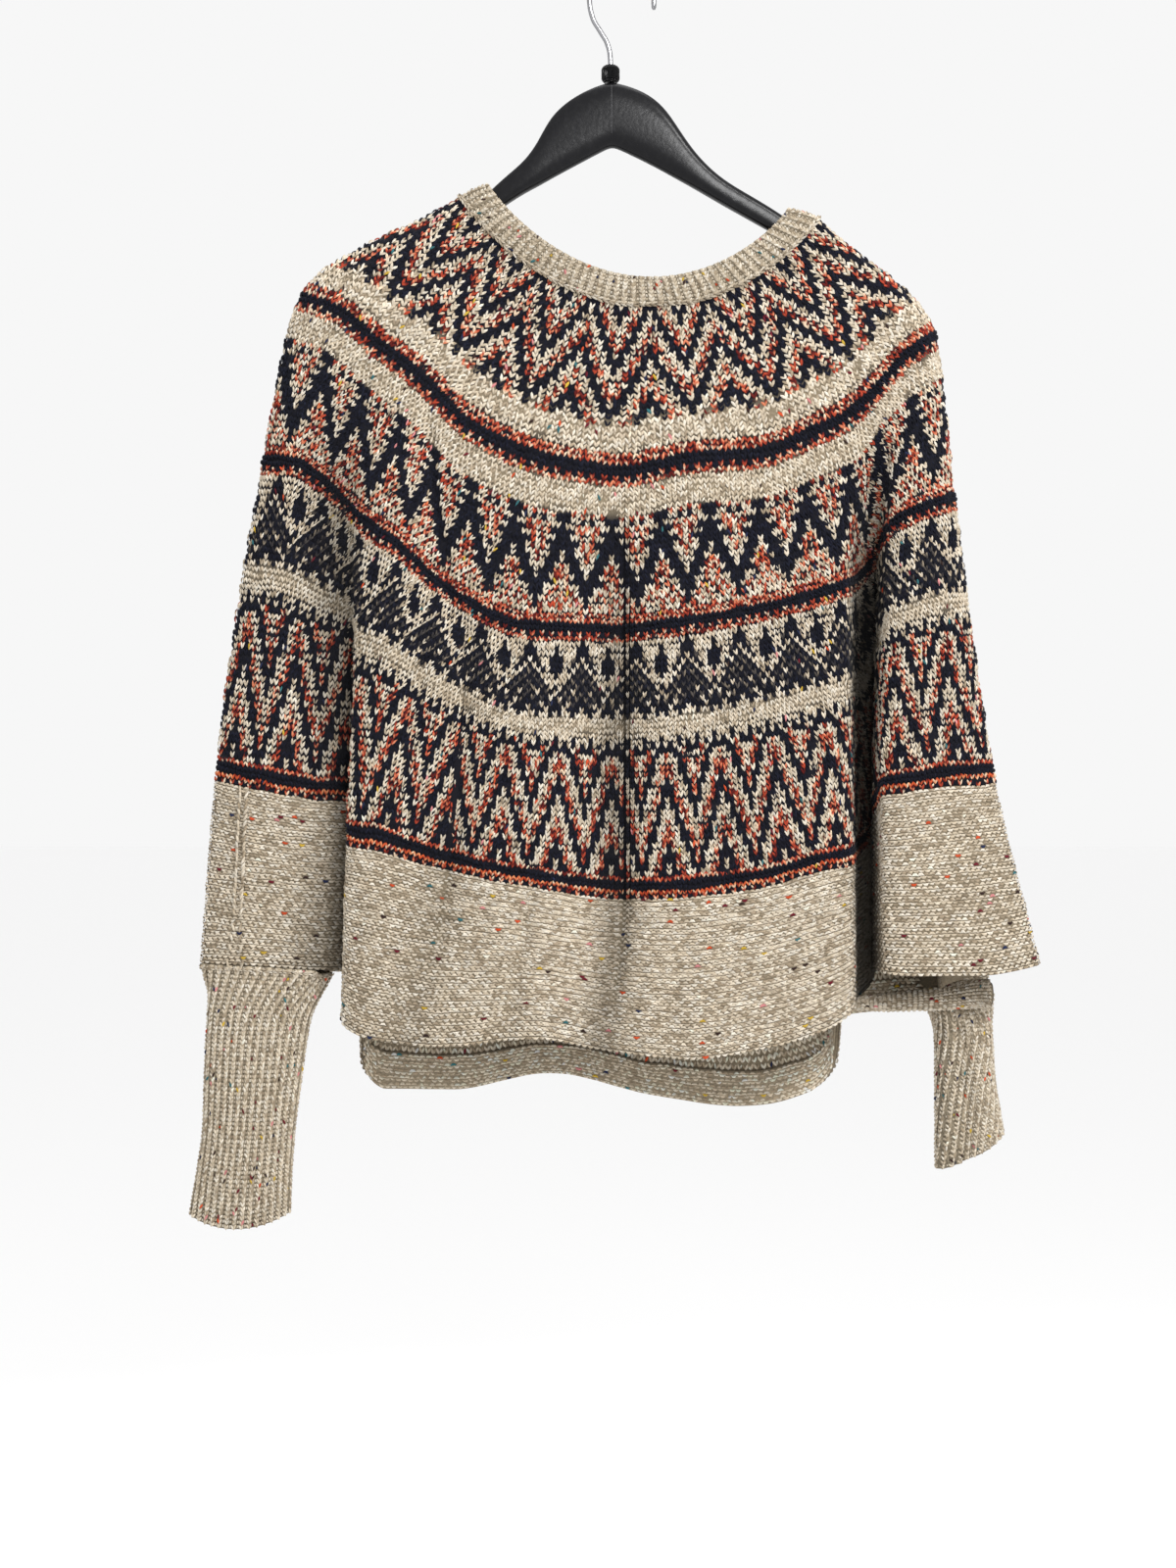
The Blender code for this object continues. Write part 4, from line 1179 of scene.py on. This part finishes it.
@dataclass
class Neckband:
    """The ribbed band round the neck, from its seam up and in to the rim, with the chain along its seam."""

    drape: Drape
    ribs: int = 96
    swell: float = 1.0
    chain: int = 150

    def rings(self, columns: int = 768) -> Array:
        """Rim, middle and seam, top first."""
        surface = self.drape.surface()
        start = self.drape.place(("centre_crease", 0.0))
        fine = start + np.linspace(0.0, self.drape.places[-1], FINE, endpoint=False)
        angles = np.array([row[1] for row in FOLDS] + [360.0])
        turns = np.radians(np.interp(fine % self.drape.places[-1], self.drape.places, angles))
        line = np.concatenate([self.drape.ring(fine, 0.0), np.cos(turns)[:, None], np.sin(turns)[:, None]], axis=1)
        closed = np.concatenate([line, line[:1]])
        far = np.concatenate([[0.0], np.cumsum(np.linalg.norm(np.diff(closed[:, :3], axis=0), axis=1))])
        at = np.linspace(0.0, far[-1], columns, endpoint=False)
        found = np.stack([np.interp(at, far, column) for column in closed.T], axis=1)
        _, _, down, out = surface.at(np.arange(columns) / columns, np.zeros(columns))
        seam = found[:, :3] - 0.15 * down
        rim = np.array([neck_point(NECK_RIM, math.degrees(math.atan2(s, c))) for c, s in found[:, 3:]])
        return np.array([rim, (seam + rim) / 2 + self.swell * out, seam])

    def build(self) -> None:
        """Makes the band."""
        rings = self.rings()
        band = Rib("neckband", rings, self.ribs, 8, seed=57, inside_rows=7, chain=self.chain, dim=0.84)
        band.build(["yoke_cloth"])


@dataclass
class Cuff:
    """A ribbed cuff whose top follows a stretch of the hem."""

    drape: Drape
    name: str
    stretch: tuple[tuple[str, float], tuple[str, float]]
    sections: list[tuple[float, ...]]
    ribs: int
    rows: int
    groove: dict[str, float] | None = None
    slant: float = 0.0
    rise: float = 1.3
    deep: tuple[float, float] = (0.0, 1.0)
    gap: float = 0.6
    steps: int = 36
    power: int = 4
    width_kept: float = 0.4

    def top(self, columns: int) -> Array:
        """The stretch of hem and the line that closes it, with even steps from its right end to the back."""
        hem = self.drape.stretch(self.stretch, 160) - np.array([0.0, 0.0, self.gap])
        end, start = hem[-1], hem[0]
        shares = np.linspace(0.0, 1.0, self.steps + 1)[1:-1]
        line = end + (start - end) * shares[:, None]
        climb = shares**self.power if end[2] < start[2] else 1 - (1 - shares) ** self.power
        line[:, 2] = end[2] + (start[2] - end[2]) * climb
        ring = even(np.concatenate([hem, line]), columns)
        ring = np.roll(ring, -int(np.argmax(ring[:, 0])), axis=0)
        after = np.roll(ring, -1, axis=0)
        if np.sum(ring[:, 0] * after[:, 1] - ring[:, 1] * after[:, 0]) < 0:
            ring = np.roll(ring[::-1], 1, axis=0)
        return ring

    def rings(self, columns: int = 480) -> Array:
        """The top and the sections below it."""
        top = self.top(columns)
        height = top[:, 2].mean()
        rings = [top]
        angles = np.linspace(0, 2 * np.pi, columns, endpoint=False)
        for drop, x, y, half_width, half_depth, turn, slope, bow in self.sections:
            a, b = half_width * np.cos(angles), half_depth * np.sin(angles)
            if self.groove:
                off = (np.degrees(angles) - self.groove["angle"]) / self.groove["spread"]
                pull = 1 - self.groove["depth"] / half_depth * np.exp(-(off**2))
                a, b = a * (self.width_kept + (1 - self.width_kept) * pull), b * pull
            c, s = math.cos(math.radians(turn)), math.sin(math.radians(turn))
            plan = np.stack([x + c * a - s * b, y + s * a + c * b], axis=1)
            off = plan[:, 0] - x
            edge = slope * off - bow * (1 - (off / half_width) ** 2)
            rings.append(even(np.column_stack([plan, height - drop + edge]), columns))
        return np.array(rings)

    def build(self) -> None:
        """Makes the cuff."""
        Rib(
            self.name, self.rings(), self.ribs, self.rows, rise=self.rise, seed=61 + self.ribs, slant=self.slant,
            chain=2 * self.ribs, chain_at=0.012, deep=self.deep,
        ).build(["hem_cloth"])


@dataclass
class Hanger:
    """The hanger's arms, the bead on top and the wire hook."""

    collar: tuple[float, float, float, float] = (-8.0, -90.7, -77.6, 6.2)
    wire: float = 4.0
    radius: float = 24.0
    tip: float = 14.0
    parting: tuple[float, float, float] = (-7.3, -94.3, -130.0)

    def arms(self) -> bpy.types.Object:
        """Draws a rounded section out along the arms, section by section."""
        x, top, bottom, half = HANGER[0]
        bpy.ops.mesh.primitive_plane_add(size=2.0)
        thing = bpy.context.object
        bpy.ops.object.mode_set(mode="EDIT")
        bpy.ops.mesh.bevel(affect="VERTICES", offset=0.62, segments=3)
        bpy.ops.transform.rotate(value=math.pi / 2, orient_axis="Y", center_override=(0, 0, 0))
        bpy.ops.transform.resize(value=(1, half * MM, (top - bottom) / 2 * MM), center_override=(0, 0, 0))
        bpy.ops.transform.translate(value=(x * MM, 0, (top + bottom) / 2 * MM))
        for (x0, t0, b0, h0), (x1, t1, b1, h1) in zip(HANGER, HANGER[1:]):
            move = ((x1 - x0) * MM, 0, (t1 + b1 - t0 - b0) / 2 * MM)
            bpy.ops.mesh.extrude_region_move(TRANSFORM_OT_translate={"value": move})
            middle = (x1 * MM, 0, (t1 + b1) / 2 * MM)
            grow = (1, h1 / h0, (t1 - b1) / (t0 - b0))
            bpy.ops.transform.resize(value=grow, center_override=middle)
        bpy.ops.mesh.select_all(action="SELECT")
        bpy.ops.mesh.normals_make_consistent(inside=False)
        bpy.ops.object.mode_set(mode="OBJECT")
        smooth = thing.modifiers.new("rounded", "SUBSURF")
        smooth.levels = smooth.render_levels = 2
        bpy.ops.object.modifier_apply(modifier=smooth.name)
        bpy.ops.object.shade_smooth()
        return named(thing, "hanger_arms", MATERIALS["black"])

    def line(self) -> bpy.types.Object:
        """The fine parting line up the middle of the front."""
        x, top, bottom = self.parting
        bpy.ops.mesh.primitive_cube_add(size=1.0)
        thing = bpy.context.object
        bpy.ops.object.mode_set(mode="EDIT")
        bpy.ops.transform.resize(value=(0.45 * MM, 0.8 * MM, (top - bottom) * MM), center_override=(0, 0, 0))
        bpy.ops.mesh.bevel(offset=0.15 * MM, segments=2)
        bpy.ops.transform.translate(value=(x * MM, -6.75 * MM, (top + bottom) / 2 * MM))
        bpy.ops.object.mode_set(mode="OBJECT")
        bpy.ops.object.shade_smooth()
        return named(thing, "parting_line", MATERIALS["black_line"])

    def hook(self) -> bpy.types.Object:
        """A wire along the stem, over the half circle and down to its rounded tip."""
        middle = self.wire / 2 - self.radius
        turns = np.linspace(0, math.pi, 41)
        arc = [(-self.radius * math.cos(a), middle + self.radius * math.sin(a)) for a in turns]
        knots = np.array(STEM + arc[::4] + [(self.radius, middle - self.tip)])
        far = np.concatenate([[0.0], np.cumsum(np.linalg.norm(np.diff(knots, axis=0), axis=1))])
        fine = curve(far, knots, np.linspace(0, far[-1], 90))
        line = bpy.data.curves.new("hook_wire", "CURVE")
        line.dimensions = "3D"
        line.bevel_depth = self.wire / 2 * MM
        line.bevel_resolution = 6
        line.use_fill_caps = True
        spline = line.splines.new("POLY")
        spline.points.add(len(fine) - 1)
        for point, (x, z) in zip(spline.points, fine):
            point.co = (x * MM, 0, z * MM, 1)
        spline.points[-2].radius, spline.points[-1].radius = 0.93, 0.6
        thing = bpy.data.objects.new("hook_wire", line)
        bpy.context.scene.collection.objects.link(thing)
        bpy.ops.object.select_all(action="DESELECT")
        thing.select_set(True)
        bpy.context.view_layer.objects.active = thing
        bpy.ops.object.convert(target="MESH")
        bpy.ops.object.shade_smooth()
        return named(bpy.context.object, "hook_wire", MATERIALS["chrome"])

    def bead(self) -> bpy.types.Object:
        """The domed bead that the hook goes into, turned about the wire."""
        x, bottom, top, radius = self.collar
        bpy.ops.mesh.primitive_cylinder_add(vertices=48, radius=radius * MM, depth=(top - bottom) * MM)
        thing = bpy.context.object
        bpy.ops.object.mode_set(mode="EDIT")
        bpy.ops.mesh.bevel(offset=3.2 * MM, segments=6, profile=0.5)
        bpy.ops.transform.translate(value=(x * MM, 0, (top + bottom) / 2 * MM))
        bpy.ops.object.mode_set(mode="OBJECT")
        bpy.ops.object.shade_smooth()
        return named(thing, "collar_bead", MATERIALS["bead"])

    def build(self) -> None:
        """Makes the hanger and hides the solids that it stands for."""
        arms, line, hook, bead = self.arms(), self.line(), self.hook(), self.bead()
        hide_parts("hanger_body")
        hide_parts("hanger_hook")
        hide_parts("hook_collar")
        pieces = ((arms, "black_plastic"), (line, "black_plastic"), (hook, "hook_wire"), (bead, "black_plastic"))
        for piece, slot in pieces:
            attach(piece, "root")
            log.info("%s: %d faces", piece.name, len(piece.data.polygons))


MATERIALS: dict[str, bpy.types.Material] = {}


def named(thing: bpy.types.Object, name: str, material: bpy.types.Material) -> bpy.types.Object:
    """Names an object and its mesh and gives it its one material, at the origin."""
    thing.name = thing.data.name = name
    thing.data.materials.clear()
    thing.data.materials.append(material)
    return thing


MIDDLE = (0.0, 0.0, -0.5)
LIGHTS = [
    # name, place, aim, side, watts, colour
    ("key", (1.1, -1.7, 0.9), MIDDLE, 0.7, 42.0, (1.0, 0.995, 0.985)),
    ("fill", (-1.6, -1.5, -0.1), MIDDLE, 1.4, 3.0, (0.96, 0.98, 1.0)),
    ("window", (0.36, -1.9, 0.47), (0.13, 0.0, -0.16), 0.34, 14.0, (1.0, 1.0, 1.0)),
    ("rear", (-0.6, 2.2, 0.4), MIDDLE, 1.6, 14.0, (1.0, 1.0, 1.0)),
    ("top", (0.1, -0.2, 1.3), MIDDLE, 0.9, 9.0, (1.0, 1.0, 1.0)),
]


@dataclass(frozen=True)
class Stage:
    """Pale surroundings and floor, lights and the camera at the photograph's viewing angle."""

    floor: float = -1.9
    floor_side: float = 80.0
    eye: tuple[float, float, float] = (-0.02465, -1.5, -0.609)
    lens: float = 46.55

    def light(self, name: str, place: tuple, aim: tuple, size: float, power: float, colour: tuple) -> None:
        """An area light that looks at a point."""
        lamp = bpy.data.lights.new(name, "AREA")
        lamp.shape, lamp.size, lamp.energy, lamp.color = "SQUARE", size, power, colour
        thing = bpy.data.objects.new(name, lamp)
        bpy.context.scene.collection.objects.link(thing)
        thing.location = place
        way = np.array(aim, float) - np.array(place, float)
        flat = math.hypot(way[0], way[1])
        thing.rotation_euler = (math.pi / 2 + math.atan2(way[2], flat), 0, math.atan2(way[1], way[0]) - math.pi / 2)

    def build(self) -> None:
        """Sets the world, floor, lights and camera."""
        world = bpy.data.worlds.new("pale")
        world.use_nodes = True
        sky = world.node_tree.nodes["Background"]
        sky.inputs["Color"].default_value = (0.93, 0.93, 0.93, 1)
        sky.inputs["Strength"].default_value = 1.0
        bpy.context.scene.world = world
        bpy.context.scene.view_settings.view_transform = "Standard"
        bpy.ops.mesh.primitive_plane_add(size=self.floor_side)
        floor = bpy.context.object
        bpy.ops.object.mode_set(mode="EDIT")
        bpy.ops.transform.translate(value=(0, 0, self.floor))
        bpy.ops.object.mode_set(mode="OBJECT")
        named(floor, "floor", HardFinish("pale_floor", (0.985, 0.985, 0.985), 0.9).material())
        for name, place, aim, size, power, colour in LIGHTS:
            self.light(name, place, aim, size, power, colour)
        view = bpy.data.cameras.new("camera")
        view.sensor_fit, view.sensor_height, view.lens = "VERTICAL", 36.0, self.lens
        camera = bpy.data.objects.new("camera", view)
        camera.location = self.eye
        camera.rotation_euler = (math.pi / 2, 0, 0)
        bpy.context.scene.collection.objects.link(camera)
        bpy.context.scene.camera = camera


def main() -> None:
    """Builds the garment, the hanger and the stage in the shared frame."""
    logging.basicConfig(level=logging.INFO, format="%(message)s")
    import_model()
    bpy.ops.object.select_all(action="DESELECT")
    finishes = dict(
        knit=KNIT, rib=RIB, plain=PLAIN, gaps=GAPS, black=BLACK, black_line=BLACK_LINE, bead=BEAD, chrome=CHROME
    )
    MATERIALS.update({name: finish.material() for name, finish in finishes.items()})
    drape = Drape()
    Hanger().build()
    Knitting(drape).build()
    Neckband(drape).build()
    Cuff(drape, "left_cuff", LEFT_STRETCH, LEFT_SECTIONS, 30, 60, rise=1.6).build()
    Cuff(
        drape, "right_cuff", RIGHT_STRETCH, RIGHT_SECTIONS, 22, 40, dict(angle=255.0, spread=30.0, depth=9.0),
        slant=0.16, rise=2.6, deep=(0.3, 0.7),
    ).build()
    Stage().build()


if __name__ == "__main__":
    main()
